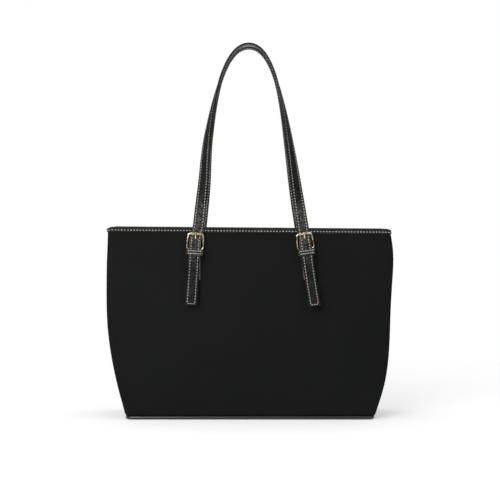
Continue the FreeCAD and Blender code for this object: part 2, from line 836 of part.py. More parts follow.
def chain_rows(first, tip, root, middle):
    """Two rows in the plane z = middle, half a pitch apart; tip and root count from the middle line."""
    low, high = f"{middle} - {dim('ToothHeight')} / 2", f"{middle} + {dim('ToothHeight')} / 2"
    return [
        (first, (f"-({root})", low), (f"-({tip})", high)),
        (f"{first} + {dim('ToothPitch')} / 2", (tip, low), (root, high)),
    ]


def make_tapes(label, frame, ends, edges, middle):
    """Two tapes in the plane z = middle, one each side of the chain's middle line."""
    tape = new_body(label, frame)
    sketch = body_sketch(tape, f"{label}_outline", lift=f"{middle} - {dim('TapeThickness')} / 2")
    (start, end), (near, far) = ends, edges
    for sign in ("", "-"):
        one, other = f"{sign}({near})", f"{sign}({far})"
        draw_outline(sketch, [(start, one), (end, one), (end, other), (start, other)])
    pad(tape, sketch, dim("TapeThickness"))


def make_flaps():
    """The flaps as they hang when the zip is open: leather, then tape, then teeth, down from the hinge."""
    half, hinge, top = dim("FlapHalfLength"), dim("FlapHingeHalfDepth"), dim("FlapHingeHeight")

    def layer(label, thickness, root, edge):
        low = (f"-{half}", f"-{hinge} - {thickness} / 2", f"{top} - ({edge})")
        high = (half, f"-{hinge} + {thickness} / 2", f"{top} - ({root})")
        keep(box(label, low, high), label)
        mirror(label.replace("front", "back"), pieces[label], Vector(0, 1, 0))

    layer("front_zip_flap", dim("FlapThickness"), dim("FlapRoot"), dim("FlapEdge"))
    layer("front_zip_tape", dim("TapeThickness"), f"{dim('FlapEdge')} + {dim('SewnGap')}", dim("TapeEdge"))
    # The two rows mesh when both flaps are up, so the back one stands half a pitch along.
    for label, side, count in (
        ("front_zip_teeth", "-1", dim("FlapTeeth")),
        ("back_zip_teeth", "1", f"({dim('FlapTeeth')} - 1)"),
    ):
        first = f"-({count} - 1) / 2 * {dim('ToothPitch')}"
        middle, half_tooth = f"{side} * {hinge}", f"{dim('ToothHeight')} / 2"
        low = (f"{middle} - {half_tooth}", f"{top} - {dim('ToothEdge')}")
        high = (f"{middle} + {half_tooth}", f"{top} - {dim('ToothRoot')}")
        make_teeth(label, None, [(first, low, high)], count)


def make_zip_end():
    """The closed end of the zip: a short run of chain under a leather tab that is sewn to the gusset."""
    top, hinge, end = dim("FlapHingeHeight"), dim("FlapHingeHalfDepth"), dim("StubEnd")
    edges, gap = (f"{hinge} - {dim('TapeEdge')}", dim("EndTabHalfDepth")), dim("SeamGap")
    make_tapes("zip_end_tape", None, (dim("StubStart"), end), edges, top)
    tip, root = f"{hinge} - {dim('ToothEdge')}", f"{hinge} - {dim('ToothRoot')}"
    rows = chain_rows(dim("StubFirstTooth"), tip, root, top)
    make_teeth("zip_end_teeth", None, rows, dim("StubTeeth"))
    stop = box(
        "zip_end_stop",
        (f"{end} - {dim('StopLength')}", f"-({edges[0]} - {gap})", f"{top} - {dim('PlateInner')}"),
        (end, f"{edges[0]} - {gap}", f"{top} + {dim('PlateInner')}"),
    )
    keep(stop, "zip_end_stop")
    tab = box(
        "zip_end_tab",
        (
            f"{end} + {dim('SewnGap')}",
            f"-{dim('EndTabHalfDepth')}",
            f"{top} - {dim('EndTabThickness')} / 2",
        ),
        (dim("EndTabEnd"), dim("EndTabHalfDepth"), f"{top} + {dim('EndTabThickness')} / 2"),
    )
    keep(tab, "zip_end_tab")


def make_slider(label, frame):
    """A slider about its chain's middle: two plates with side flanges, a wedge and a bridge for the pull."""
    slider = new_body(label, frame)
    length, width = dim("SliderHalfLength"), dim("SliderHalfWidth")
    inner, outer = dim("PlateInner"), dim("PlateOuter")
    wedge = body_sketch(slider, f"{label}_wedge", lift=f"-{outer}")
    wedge_end, wedge_side = f"(-{length} + {dim('WedgeLength')})", dim("WedgeHalfWidth")
    draw_outline(
        wedge,
        [
            (f"-{length}", f"-{wedge_side}"),
            (wedge_end, f"-{wedge_side} / 2"),
            (wedge_end, f"{wedge_side} / 2"),
            (f"-{length}", wedge_side),
        ],
    )
    pad(slider, wedge, f"2 * {outer}")
    for name, plate, flange in (("upper", inner, dim("FlangeInner")), ("lower", f"-{outer}", f"-{inner}")):
        outline = body_sketch(slider, f"{label}_{name}_plate", lift=plate)
        draw_rounded_rectangle(outline, length, width, dim("PlateCorner"))
        pad(slider, outline, f"{outer} - {inner}")
        edges = body_sketch(slider, f"{label}_{name}_flanges", lift=flange)
        reach = f"({length} - {dim('PlateCorner')})"
        for sign in ("", "-"):
            near, far = f"{sign}({width} - {dim('FlangeWidth')})", f"{sign}{width}"
            draw_outline(edges, [(f"-{reach}", near), (reach, near), (reach, far), (f"-{reach}", far)])
        pad(slider, edges, f"{inner} - {dim('FlangeInner')}")
    bridge = body_sketch(slider, f"{label}_bridge", "XZ_Plane")
    span, thick, top = dim("BridgeHalfSpan"), dim("BridgeThickness"), dim("BridgeTop")
    draw_outline(
        bridge,
        [
            (f"-{span}", outer),
            (f"-{span} + {thick}", outer),
            (f"-{span} + {thick}", f"{top} - {thick}"),
            (f"{span} - {thick}", f"{top} - {thick}"),
            (f"{span} - {thick}", outer),
            (span, outer),
            (span, f"{top} - {thick}"),
            (f"{span} - {thick}", top),
            (f"-{span} + {thick}", top),
            (f"-{span}", f"{top} - {thick}"),
        ],
    )
    pad(slider, bridge, dim("BridgeWidth"), both_ways=True)


def make_pull(label, frame):
    """A pull hung under the slider's bridge, lying along +x: cross bar, two arms and a holed plate."""
    pull = new_body(label, frame)
    height, half = dim("PullBarHeight"), dim("PullHalfWidth")
    plate = body_sketch(pull, f"{label}_plate", lift=f"{height} - {dim('PullThickness')} / 2")
    heel, arm = f"-{dim('PullHeel')}", dim("PullArm")
    inside, hole = f"({half} - {dim('PullArmWidth')})", dim("PullHole")
    corners = [
        (heel, f"-{half}"),
        (hole, f"-{half}"),
        (hole, half),
        (heel, half),
        (heel, inside),
        (arm, inside),
        (arm, f"-{inside}"),
        (heel, f"-{inside}"),
    ]
    draw_outline(plate, corners, {1: (f"{hole} + {half}", "0")})
    draw_circle(plate, (hole, "0"), dim("PullHoleRadius"))
    pad(pull, plate, dim("PullThickness"))
    bar = body_sketch(pull, f"{label}_bar", "XZ_Plane")
    draw_circle(bar, ("0", height), dim("PullBarRadius"))
    pad(pull, bar, f"2 * {half}", both_ways=True)


def make_top_slider():
    park = Placement(Vector(size("SliderPark"), 0, size("FlapHingeHeight")), Rotation())
    make_slider("zip_slider", park)
    make_pull("zip_pull", park)


# The inner pockets


def pocket_frame():
    """Placement of the zip pocket on the back lining: x along it, y up the wall, z into the bag."""
    height = size("PocketHeight")
    reach = size("PocketHalfOpening") + size("WeltWidth")
    lean = math.atan((half_depth_at(height - reach) - half_depth_at(height + reach)) / (2 * reach))
    inset = size("LiningOuterInset") + size("LiningThickness") + size("SeamGap")
    y = half_depth_at(height) - inset / math.cos(lean)
    return Placement(Vector(0, y, height), Rotation(Vector(1, 0, 0), 90 + math.degrees(lean)))


def make_zip_pocket():
    frame = pocket_frame()
    welt = new_body("zip_pocket_welt", frame)
    sketch = body_sketch(welt, "welt_outline")
    half, opening, border = dim("PocketHalfLength"), dim("PocketHalfOpening"), dim("WeltWidth")
    draw_rounded_rectangle(sketch, f"({half} + {border})", f"({opening} + {border})", dim("WeltCorner"))
    draw_rounded_rectangle(sketch, half, opening, dim("WeltWindowCorner"))
    pad(welt, sketch, dim("WeltThickness"))

    middle, reach = dim("PocketTapePlane"), f"({half} - {dim('SewnGap')})"
    edges = (dim("PocketTapeEdge"), f"{opening} - {dim('SewnGap')}")
    make_tapes("zip_pocket_tape", frame, (f"-{reach}", reach), edges, middle)
    first = f"-{dim('PocketTeeth')} / 2 * {dim('ToothPitch')}"
    rows = chain_rows(first, dim("PocketToothTip"), dim("PocketToothRoot"), middle)
    make_teeth("zip_pocket_teeth", frame, rows, dim("PocketTeeth"))
    park = Vector(size("PocketSliderPark"), 0, size("PocketTapePlane"))
    make_slider("zip_pocket_slider", frame.multiply(Placement(park, Rotation())))
    turned = Rotation(Vector(0, 0, 1), 180)
    make_pull("zip_pocket_pull", frame.multiply(Placement(park, turned)))

    reach = f"{half} + {border} / 2"
    bag_sheet = depth_strip("zip_pocket_bag", 1, dim("PocketBagOut"), dim("PocketBagIn"), reach)
    window = box(
        "zip_pocket_bag_window",
        (f"-{dim('TopHalfWidth')}", "0", dim("PocketBagFoot")),
        (dim("TopHalfWidth"), dim("FootHalfDepth"), f"{dim('PocketHeight')} + {opening} + {border}"),
    )
    keep(common("zip_pocket_bag", bag_sheet, window), "zip_pocket_bag")


def make_slip_pocket():
    """An open-topped patch on the front lining, standing off the wall at its mouth."""
    sketch = free_sketch("slip_pocket_side", "YZ")
    inset = size("LiningOuterInset") + size("LiningThickness")
    foot = -half_depth_at(size("SlipFoot")) + inset + size("SlipRoot")
    top = -half_depth_at(size("SlipTop")) + inset + size("SlipMouth")
    thick = dim("SlipThickness")
    corners = [
        (f"{foot}", dim("SlipFoot")),
        (f"{foot} + {thick}", dim("SlipFoot")),
        (f"{top} + {thick}", dim("SlipTop")),
        (f"{top}", dim("SlipTop")),
    ]
    draw_outline(sketch, corners)
    patch = extrude("slip_pocket", sketch, Vector(1, 0, 0), f"2 * {dim('SlipHalfLength')}")
    keep(patch, "slip_pocket")


def write_parts():
    """Checks every object and sub-part, then writes one STEP file for each sub-part."""
    doc.recompute()
    for obj in doc.Objects:
        if {"Invalid", "Error"} & set(obj.State):
            raise RuntimeError(f"{obj.Label} failed: {obj.State}")
    os.makedirs("parts", exist_ok=True)
    for label, obj in pieces.items():
        shape = obj.Shape
        if shape.isNull() or not shape.isValid() or not shape.Solids:
            raise RuntimeError(f"{label} has no valid solid")
        if not all(s.isClosed() and s.Volume > 0 for s in shape.Solids):
            raise RuntimeError(f"{label} has an open or inside-out solid")
        shape.exportStep(f"parts/{label}.step")


make_shell()
make_base()
make_rim()
make_lining()
make_front_straps()
mirror_straps_to_back()
make_flaps()
make_zip_end()
make_top_slider()
make_zip_pocket()
make_slip_pocket()
write_parts()
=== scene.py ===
"""Looks of a faux-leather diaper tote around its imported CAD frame. Metres: +X right, -Y front, +Z up."""

import json
import math
from dataclasses import dataclass

import bmesh
import bpy
import numpy as np
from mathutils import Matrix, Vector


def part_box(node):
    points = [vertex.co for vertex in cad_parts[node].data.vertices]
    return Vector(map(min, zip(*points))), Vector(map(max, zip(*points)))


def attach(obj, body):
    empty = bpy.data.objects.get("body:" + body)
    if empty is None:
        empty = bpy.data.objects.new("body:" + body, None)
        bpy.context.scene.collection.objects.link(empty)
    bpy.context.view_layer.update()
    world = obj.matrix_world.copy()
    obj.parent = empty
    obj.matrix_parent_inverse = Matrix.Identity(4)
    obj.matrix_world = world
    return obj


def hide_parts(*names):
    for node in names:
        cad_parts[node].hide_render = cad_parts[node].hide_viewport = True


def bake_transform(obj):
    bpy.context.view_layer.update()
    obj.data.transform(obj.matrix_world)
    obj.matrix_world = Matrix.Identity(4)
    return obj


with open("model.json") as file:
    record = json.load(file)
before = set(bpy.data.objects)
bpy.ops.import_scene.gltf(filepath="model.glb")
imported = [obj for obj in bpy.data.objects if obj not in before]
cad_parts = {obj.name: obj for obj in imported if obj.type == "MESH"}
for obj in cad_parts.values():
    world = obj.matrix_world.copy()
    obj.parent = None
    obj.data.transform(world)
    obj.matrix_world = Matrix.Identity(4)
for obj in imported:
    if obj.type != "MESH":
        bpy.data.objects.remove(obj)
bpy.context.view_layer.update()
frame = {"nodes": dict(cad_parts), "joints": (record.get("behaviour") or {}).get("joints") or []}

MM = 0.001
JOINTS = {joint["name"]: joint for joint in frame["joints"]}
ENDS = ("left", "right")

# Leather and thread. A sheet thins to EDGE_SHARE over its last EDGE_ROUND thicknesses.
EDGE_ROUND, EDGE_SHARE = 0.8, 0.3
SHEET = 1.3 * MM
STRAP_WIDTH = 18 * MM
STRAP_SHEET = 3 * MM
STRAP_SEAM = 3.2 * MM
STRAP_PITCH = 4.5 * MM
RIM_PITCH = 4.8 * MM
SMALL_PITCH = 3.6 * MM
THREAD = 0.62 * MM
STITCH_SHARE, STITCH_SLANT = 0.56, 7
CHANNEL, CHANNEL_SHARE = 0.6 * MM, 0.9
GROOVED = 0.85

# The strap's spare holes, as distances up the strap from its buckle's heel bar
HOLES = (-17.5 * MM, 46 * MM)
HOLE_RADIUS = 1.6 * MM


# Curves and grids of points


def spline(knots, values):
    """A natural cubic spline through numbers or vectors at knots."""
    knots, values = np.asarray(knots, float), np.asarray(values, float)
    step = np.diff(knots)
    system = np.eye(len(knots))
    right = np.zeros_like(values)
    for i in range(1, len(knots) - 1):
        before, after = step[i - 1], step[i]
        system[i, i - 1 : i + 2] = before, 2 * (before + after), after
        right[i] = 6 * ((values[i + 1] - values[i]) / after - (values[i] - values[i - 1]) / before)
    bend = np.linalg.solve(system, right)

    def at(where):
        where = np.asarray(where, float)
        i = np.clip(np.searchsorted(knots, where) - 1, 0, len(step) - 1)
        shape = where.shape + (1,) * (values.ndim - 1)
        width = step[i].reshape(shape)
        after = ((where - knots[i]) / step[i]).reshape(shape)
        before = 1 - after
        curve = (before**3 - before) * bend[i] + (after**3 - after) * bend[i + 1]
        return before * values[i] + after * values[i + 1] + curve * width**2 / 6

    return at


def unit(vectors):
    return vectors / np.linalg.norm(vectors, axis=-1, keepdims=True)


def smooth(value, start, end):
    """0 before start and 1 after end, easing between them."""
    share = np.clip((value - start) / (end - start), 0, 1)
    return share * share * (3 - 2 * share)


def profile(node, axis):
    """How far a CAD node reaches along an axis, as a smooth curve of height over its points' upper hull."""
    vertices = frame["nodes"][node].data.vertices
    points = sorted({(round(v.co.z, 6), round(abs(v.co[axis]), 6)) for v in vertices})
    hull = []
    for z, reach in points:
        while len(hull) > 1:
            (z0, r0), (z1, r1) = hull[-2:]
            if (r1 - r0) * (z - z0) > (reach - r0) * (z1 - z0):
                break
            hull.pop()
        hull.append((z, reach))
    heights, reaches = np.array(hull).T
    knots = np.linspace(heights[0], heights[-1], 7)
    return spline(knots, np.interp(knots, heights, reaches))


def loop(half_x, half_y, radius, along_x=48, along_y=18, corner=9, groove=0.0):
    """A rounded rectangle as x and y pairs from its front left, with a groove in each corner's middle."""
    radius = max(radius, 0.2 * MM)
    centres = np.array([(-1, -1), (1, -1), (1, 1), (-1, 1)]) * (half_x - radius, half_y - radius)
    turn = np.linspace(0, math.pi / 2, corner + 2)[1:-1]
    reach = np.full(corner, radius)
    reach[corner // 2] -= groove
    points = []
    for side, count in enumerate((along_x, along_y, along_x, along_y)):
        first, last = centres[side], centres[(side + 1) % 4]
        facing = (side - 1) * math.pi / 2
        offset = radius * np.array([math.cos(facing), math.sin(facing)])
        points.append(first + offset + np.linspace(0, 1, count)[:, None] * (last - first))
        arc = np.stack([np.cos(facing + turn), np.sin(facing + turn)], axis=1)
        points.append(last + arc * reach[:, None])
    return np.concatenate(points)


def raise_loop(pairs, height):
    return np.column_stack([pairs, np.full(len(pairs), height)])


def rounding(distance, thickness):
    """The share of a sheet's thickness left at a distance from its edge."""
    share = np.clip(np.asarray(distance) / (EDGE_ROUND * thickness), 0, 1)
    return EDGE_SHARE + (1 - EDGE_SHARE) * np.sqrt(1 - (1 - share) ** 2)


def edge_marks(thickness):
    """Distances from an edge where a rounded sheet needs points."""
    return np.array([0, 0.15, 0.5, 1]) * EDGE_ROUND * thickness


# Pieces


@dataclass
class Surface:
    """Points, faces and the material index of each face."""

    points: np.ndarray
    faces: list
    paint: list


def slab(upper, lower, mask=None, ring=False, wall_paint=0):
    """The closed solid between two matching grids, whose mask says which cells exist; a ring's ends meet."""
    rows, columns = upper.shape[:2]
    if mask is None:
        mask = np.ones((rows - 1, columns if ring else columns - 1), bool)
    around = np.pad(mask, 1)
    if ring:
        around[:, [0, -1]] = around[:, [-2, 1]]
    lift = rows * columns
    faces, paint = [], []
    for i, j in np.argwhere(mask):
        a, b = i * columns + j, (i + 1) * columns + j
        c, d = b - j + (j + 1) % columns, a - j + (j + 1) % columns
        faces += [(a, b, c, d), (d + lift, c + lift, b + lift, a + lift)]
        paint += [0, 0]
        for step, p, q in (((-1, 0), d, a), ((1, 0), b, c), ((0, -1), a, b), ((0, 1), c, d)):
            if not around[i + 1 + step[0], j + 1 + step[1]]:
                faces.append((q, p, p + lift, q + lift))
                paint.append(wall_paint)
    return Surface(np.concatenate([upper.reshape(-1, 3), lower.reshape(-1, 3)]), faces, paint)


def tube(rings):
    """A closed surface through rings of points that meet end to end."""
    number = np.arange(rings[..., 0].size).reshape(rings.shape[:2])
    below, beside = np.roll(number, -1, axis=0), np.roll(number, -1, axis=1)
    across = np.roll(below, -1, axis=1)
    faces = np.stack([number, below, across, beside], axis=-1).reshape(-1, 4).tolist()
    return Surface(rings.reshape(-1, 3), faces, [0] * len(faces))


def join(*surfaces):
    points, faces, paint, start = [], [], [], 0
    for surface in surfaces:
        points.append(surface.points)
        faces += [tuple(start + corner for corner in face) for face in surface.faces]
        paint += surface.paint
        start += len(surface.points)
    return Surface(np.concatenate(points), faces, paint)


def mirrored(surface):
    """The same surface on the other side of the bag's middle plane."""
    return Surface(surface.points * (1, -1, 1), [face[::-1] for face in surface.faces], surface.paint)


def make_piece(name, surface, materials, crease=50):
    """A smooth-shaded mesh object in the row frame."""
    mesh = bpy.data.meshes.new(name)
    mesh.from_pydata(surface.points.tolist(), [], surface.faces)
    mesh.polygons.foreach_set("material_index", surface.paint)
    build = bmesh.new()
    build.from_mesh(mesh)
    bmesh.ops.delete(build, geom=[v for v in build.verts if not v.link_faces], context="VERTS")
    bmesh.ops.recalc_face_normals(build, faces=build.faces)
    build.to_mesh(mesh)
    build.free()
    mesh.shade_smooth()
    mesh.set_sharp_from_angle(angle=math.radians(crease))
    for material in materials:
        mesh.materials.append(material)
    piece = bpy.data.objects.new(name, mesh)
    bpy.context.scene.collection.objects.link(piece)
    return piece


def tangents(path, closed=False):
    """Directions along a path; a closed one ends where it starts."""
    ahead = np.gradient(path, axis=0)
    if closed:
        ahead[0] = ahead[-1] = path[1] - path[-2]
    return unit(ahead)


def lengths(path):
    """Distance along a path at each of its points."""
    return np.concatenate([[0], np.cumsum(np.linalg.norm(np.diff(path, axis=0), axis=1))])


def along(values, run, where):
    """Values at distances along a path, from those at its own points."""
    return np.column_stack([np.interp(where, run, column) for column in values.T])


def shortened(line, cut):
    """A line that stops short of both its ends."""
    path, out = line
    run = lengths(path)
    where = np.linspace(cut, run[-1] - cut, len(run))
    return along(path, run, where), along(out, run, where)


def lay(path, facing, spacing, thickness, holes=(), radius=0.0):
    """A path and its facings at even spacing, and closer near its ends and holes, with their distances."""
    run = lengths(path)
    rows = np.linspace(0, run[-1], max(2, round(run[-1] / spacing)) + 1)
    marks = edge_marks(thickness)
    rows = rows[(rows > marks[-1] * 1.5) & (rows < run[-1] - marks[-1] * 1.5)]
    for hole in holes:
        rows = rows[abs(rows - hole) > 2 * radius]
    around = [hole + offset for hole in holes for offset in (-radius, 0, radius)]
    rows = np.sort(np.concatenate([rows, marks, run[-1] - marks, around]))
    return along(path, run, rows), along(facing, run, rows), rows


@dataclass
class Strip:
    """A strip of leather or tape laid along a path, facing outwards."""

    path: np.ndarray
    facing: np.ndarray
    across: np.ndarray
    width: float
    thickness: float
    surface: Surface

    def line(self, offset, side=1):
        """A line's points and outward directions at an offset from the middle, on the face or the back."""
        lift = side * 0.5 * self.thickness * self.facing
        return self.path + offset * self.across + lift, side * self.facing

    def rows(self, inset, sides=(1,)):
        """The lines that run along both edges at an inset from them."""
        offset = self.width / 2 - inset
        return [self.line(sign * offset, side) for side in sides for sign in (-1, 1)]

    def cross(self, distance, inset, side=1, from_end=False, steps=12):
        """A line straight across the strip at a distance from one of its ends."""
        run = lengths(self.path)
        row = np.argmin(abs(run - (run[-1] - distance if from_end else distance)))
        offsets = np.linspace(-1, 1, steps)[:, None] * (self.width / 2 - inset)
        out = side * self.facing[row]
        lift = 0.5 * self.thickness * out
        return self.path[row] + offsets * self.across[row] + lift, np.tile(out, (steps, 1))


def columns_across(half, thickness, seam, hole_radius):
    """Offsets from a strip's middle of its columns of points."""
    columns = [*(half - edge_marks(thickness)), 0.45 * half, hole_radius or 0.15 * half]
    if seam:
        columns += [half - seam + CHANNEL, half - seam, half - seam - CHANNEL]
    columns = np.array(sorted({round(column, 7) for column in columns}))
    return np.concatenate([-columns[::-1], [0], columns])


def punch(grids, mask, row, column):
    """Opens the four cells round a point, and draws their corners in to round the hole."""
    mask[row - 1 : row + 1, column - 1 : column + 1] = False
    for grid in grids:
        for i in (row - 1, row + 1):
            for j in (column - 1, column + 1):
                grid[i, j] += (1 - math.sqrt(0.5)) * (grid[row, column] - grid[i, j])


def strip(path, facing, width, thickness, spacing, seam=0, corner=0, holes=(), hole_radius=0, edge_paint=0):
    """Lays a strip with rounded edges and corners, a channel under each seam, and punched holes."""
    path, facing, run = lay(np.asarray(path), facing, spacing, thickness, holes, hole_radius)
    tangent = tangents(path)
    across = unit(np.cross(tangent, facing))
    facing = np.cross(across, tangent)
    half = width / 2
    columns = columns_across(half, thickness, seam, hole_radius)
    from_end = np.minimum(run, run[-1] - run)
    short = np.clip(corner - from_end, 0, corner)
    narrow = corner - np.sqrt(np.maximum(corner**2 - short**2, 0))
    offsets = columns * (1 - narrow / half)[:, None]
    share = np.minimum(rounding(from_end, thickness)[:, None], rounding(half - abs(columns), thickness))
    if seam:
        share *= np.where(abs(abs(columns) - (half - seam)) < 1e-6, CHANNEL_SHARE, 1.0)
    lift = (0.5 * thickness * share)[..., None] * facing[:, None, :]
    middle = path[:, None, :] + offsets[..., None] * across[:, None, :]
    grids = (middle + lift, middle - lift)
    mask = np.ones((len(path) - 1, len(columns) - 1), bool)
    for hole in holes:
        punch(grids, mask, np.argmin(abs(run - hole)), len(columns) // 2)
    return Strip(path, facing, across, width, thickness, slab(*grids, mask, wall_paint=edge_paint))


def stitch_shape(length):
    """One stitch lying along x, thickest and highest in its middle: its points and faces."""
    angles = np.linspace(0, 2 * math.pi, 6, endpoint=False)
    points = [
        (x * length, size * THREAD * math.cos(angle), (lift + size * math.sin(angle)) * THREAD)
        for x, size, lift in ((-0.5, 0.4, -0.7), (-0.34, 1, 0.25), (0.34, 1, 0.25), (0.5, 0.4, -0.7))
        for angle in angles
    ]
    ring = np.arange(6)
    after = np.roll(ring, -1)
    sides = [np.stack([ring + i, after + i, after + i + 6, ring + i + 6], axis=1) for i in (0, 6, 12)]
    return np.array(points), [*np.concatenate(sides).tolist(), ring[::-1].tolist(), (ring + 18).tolist()]


def stitch(lines, pitch):
    """Thread laid along lines of points and outward directions, with a slanting stitch at each pitch."""
    template, shape = stitch_shape(STITCH_SHARE * pitch)
    lean = math.radians(STITCH_SLANT)
    points = []
    for path, out in lines:
        run = lengths(path)
        count = max(1, round(run[-1] / pitch))
        middle = run[-1] * (np.arange(count) + 0.5) / count
        centre, ahead, behind = (along(path, run, middle + offset * pitch) for offset in (0, 0.3, -0.3))
        forward = unit(ahead - behind)
        side = unit(np.cross(along(out, run, middle), forward))
        slanted = math.cos(lean) * forward + math.sin(lean) * side
        across = math.cos(lean) * side - math.sin(lean) * forward
        axes = np.stack([slanted, across, np.cross(forward, side)], axis=1)
        points.append(centre[:, None] + template @ axes)
    points = np.concatenate(points)
    faces = [[i * len(template) + corner for corner in face] for i in range(len(points)) for face in shape]
    return Surface(points.reshape(-1, 3), faces, [0] * len(faces))


# Materials


def feed(tree, node, **inputs):
    """Sets a node's inputs, by name or as i0, i1, ..., to numbers, colours or other nodes' outputs."""
    for key, value in inputs.items():
        numbered = key[0] == "i" and key[1:].isdigit()
        socket = node.inputs[int(key[1:]) if numbered else key.replace("_", " ")]
        if isinstance(value, bpy.types.NodeSocket):
            tree.links.new(value, socket)
        else:
            socket.default_value = value


def add(tree, kind, settings=None, **inputs):
    made = tree.nodes.new("ShaderNode" + kind)
    for key, value in (settings or {}).items():
        setattr(made, key, value)
    feed(tree, made, **inputs)
    return made


def new_material(name):
    """A material, its nodes and the place that they paint."""
    made = bpy.data.materials.new(name)
    made.use_nodes = True
    return made, made.node_tree, add(made.node_tree, "TexCoord").outputs["Object"]


def shade(tree, **inputs):
    feed(tree, tree.nodes["Principled BSDF"], **inputs)


def calculate(tree, operation, *values):
    numbered = {f"i{index}": value for index, value in enumerate(values)}
    return add(tree, "Math", {"operation": operation}, **numbered).outputs[0]


def noise(tree, where, scale, detail, **settings):
    return add(tree, "TexNoise", Vector=where, Scale=scale, Detail=detail, **settings).outputs["Fac"]


def bumped(tree, height, depth, strength):
    return add(tree, "Bump", Strength=strength, Distance=depth, Height=height).outputs["Normal"]


def scaled(tree, value, low, high, to_low, to_high, kind="LINEAR"):
    eased = {"interpolation_type": kind}
    return add(tree, "MapRange", eased, i0=value, i1=low, i2=high, i3=to_low, i4=to_high).outputs[0]


def bent(tree, low, high, most):
    """0 where the surface bends by low, and most where it bends by high."""
    return scaled(tree, add(tree, "NewGeometry").outputs["Pointiness"], low, high, 0.0, most)


def mixed(tree, share, first, second):
    return add(tree, "Mix", {"data_type": "RGBA"}, i0=share, i6=first, i7=second).outputs[2]


def linear(*display):
    """A linear colour from display values of 0 to 255, one for a grey or three."""
    channels = display * (3 // len(display))
    return (*[((c / 255 + 0.055) / 1.055) ** 2.4 if c > 10 else c / 255 / 12.92 for c in channels], 1)


def leather(name, dark, worn_and_highlight, grain, depth, rough, gloss, mottle=0.1, cloud_scale=14, coat=0, sheen_band=None):
    """Embossed faux leather: pebbles between creases, cloudy colour, edges lightened by wearing, painted
    highlights on the pebbles' tops with painted shade left in the creases, and a band round one height
    painted lighter as sheen.
    """
    made, tree, where = new_material(name)
    warp = add(tree, "TexNoise", Vector=where, Scale=0.35 / grain, Detail=2.0).outputs["Color"]
    warped = add(tree, "Mix", {"data_type": "VECTOR"}, i0=0.8 * grain, i4=where, i5=warp).outputs[1]
    cells = add(tree, "TexVoronoi", {"feature": "DISTANCE_TO_EDGE"}, Vector=warped, Scale=1 / grain)
    pebble = scaled(tree, cells.outputs["Distance"], 0.0, 0.34, 0.0, 1.0, "SMOOTHERSTEP")
    fine = noise(tree, where, 2.6 / grain, 4.0)
    cloud = noise(tree, where, cloud_scale, 5.0, Roughness=0.6)
    tone = scaled(tree, cloud, 0.35, 0.65, 1 - mottle, 1 + mottle)
    # Painted sheen: a band round one height is made lighter, standing in for light grazing the leather
    # there.
    if sheen_band:
        middle, reach, sheen_gain = sheen_band
        height = add(tree, "SeparateXYZ", Vector=where).outputs["Z"]
        away = calculate(tree, "ABSOLUTE", calculate(tree, "SUBTRACT", height, middle))
        painted_sheen = scaled(tree, away, 0.4 * reach, reach, sheen_gain, 1.0, "SMOOTHSTEP")
        tone = calculate(tree, "MULTIPLY", tone, painted_sheen)
    # Painted highlight: the pebbles' tops take part of the lighter colour, standing in for light catching
    # them, and the creases stay dark as painted shade; sharp edges take the lighter colour through wearing.
    crest_highlight = calculate(tree, "MULTIPLY", pebble, 0.35)
    wear_and_highlight_share = calculate(tree, "MAXIMUM", bent(tree, 0.515, 0.62, 0.75), crest_highlight)
    colour = add(tree, "VectorMath", {"operation": "SCALE"}, i0=mixed(tree, wear_and_highlight_share, dark, worn_and_highlight), Scale=tone)
    shade(
        tree,
        Base_Color=colour.outputs[0],
        Roughness=scaled(tree, fine, 0.3, 0.7, rough - 0.08, rough + 0.1),
        Normal=bumped(tree, calculate(tree, "MULTIPLY_ADD", fine, 0.45, pebble), depth, 0.9),
        Specular_IOR_Level=gloss,
        Coat_Weight=coat,
        Coat_Roughness=0.18,
    )
    return made


def cloth(name, dark, light, pitch, depth, rough):
    """Plain weave: threads both ways, each passing over and under, with slubs and cloudy colour."""
    made, tree, where = new_material(name)
    split = add(tree, "SeparateXYZ", Vector=where).outputs
    level = calculate(tree, "ADD", split["X"], split["Y"])
    turns = [calculate(tree, "MULTIPLY", value, 2 * math.pi / pitch) for value in (level, split["Z"])]
    weave = calculate(tree, "MULTIPLY", *[calculate(tree, "SINE", turn) for turn in turns])
    slubs = calculate(tree, "MULTIPLY_ADD", noise(tree, where, 0.4 / pitch, 4.0), 0.8, weave)
    share = calculate(tree, "MULTIPLY_ADD", weave, 0.3, noise(tree, where, 20.0, 4.0))
    colour = mixed(tree, share, dark, light)
    shade(tree, Base_Color=colour, Normal=bumped(tree, slubs, depth, 0.8), Roughness=rough)
    shade(tree, Specular_IOR_Level=0.2, Sheen_Weight=0.15)
    return made


def metal(name, colour, dull, rough):
    """Plated metal with fine polishing marks, tarnish and duller hollows."""
    made, tree, where = new_material(name)
    marks = noise(tree, where, 900.0, 3.0)
    tarnish = scaled(tree, noise(tree, where, 280.0, 4.0), 0.42, 0.60, 0.0, 0.8)
    share = calculate(tree, "MAXIMUM", tarnish, bent(tree, 0.5, 0.42, 0.8))
    roughness = scaled(tree, marks, 0.3, 0.7, rough - 0.06, rough + 0.1)
    shade(tree, Base_Color=mixed(tree, share, colour, dull), Roughness=roughness, Metallic=1.0)
    shade(tree, Normal=bumped(tree, marks, 0.05 * MM, 0.05))
    return made


def thread(name, colour, shadow):
    """Waxed sewing thread: two plies twisted together."""
    made, tree, where = new_material(name)
    twist = add(tree, "TexWave", {"bands_direction": "DIAGONAL"}, Vector=where, Scale=700.0, Distortion=2.0)
    share = scaled(tree, noise(tree, where, 240.0, 2.0), 0.35, 0.65, 0.0, 0.55)
    shade(tree, Base_Color=mixed(tree, share, colour, shadow), Roughness=0.6)
    shade(tree, Normal=bumped(tree, twist.outputs["Fac"], 0.1 * MM, 0.5))
    return made


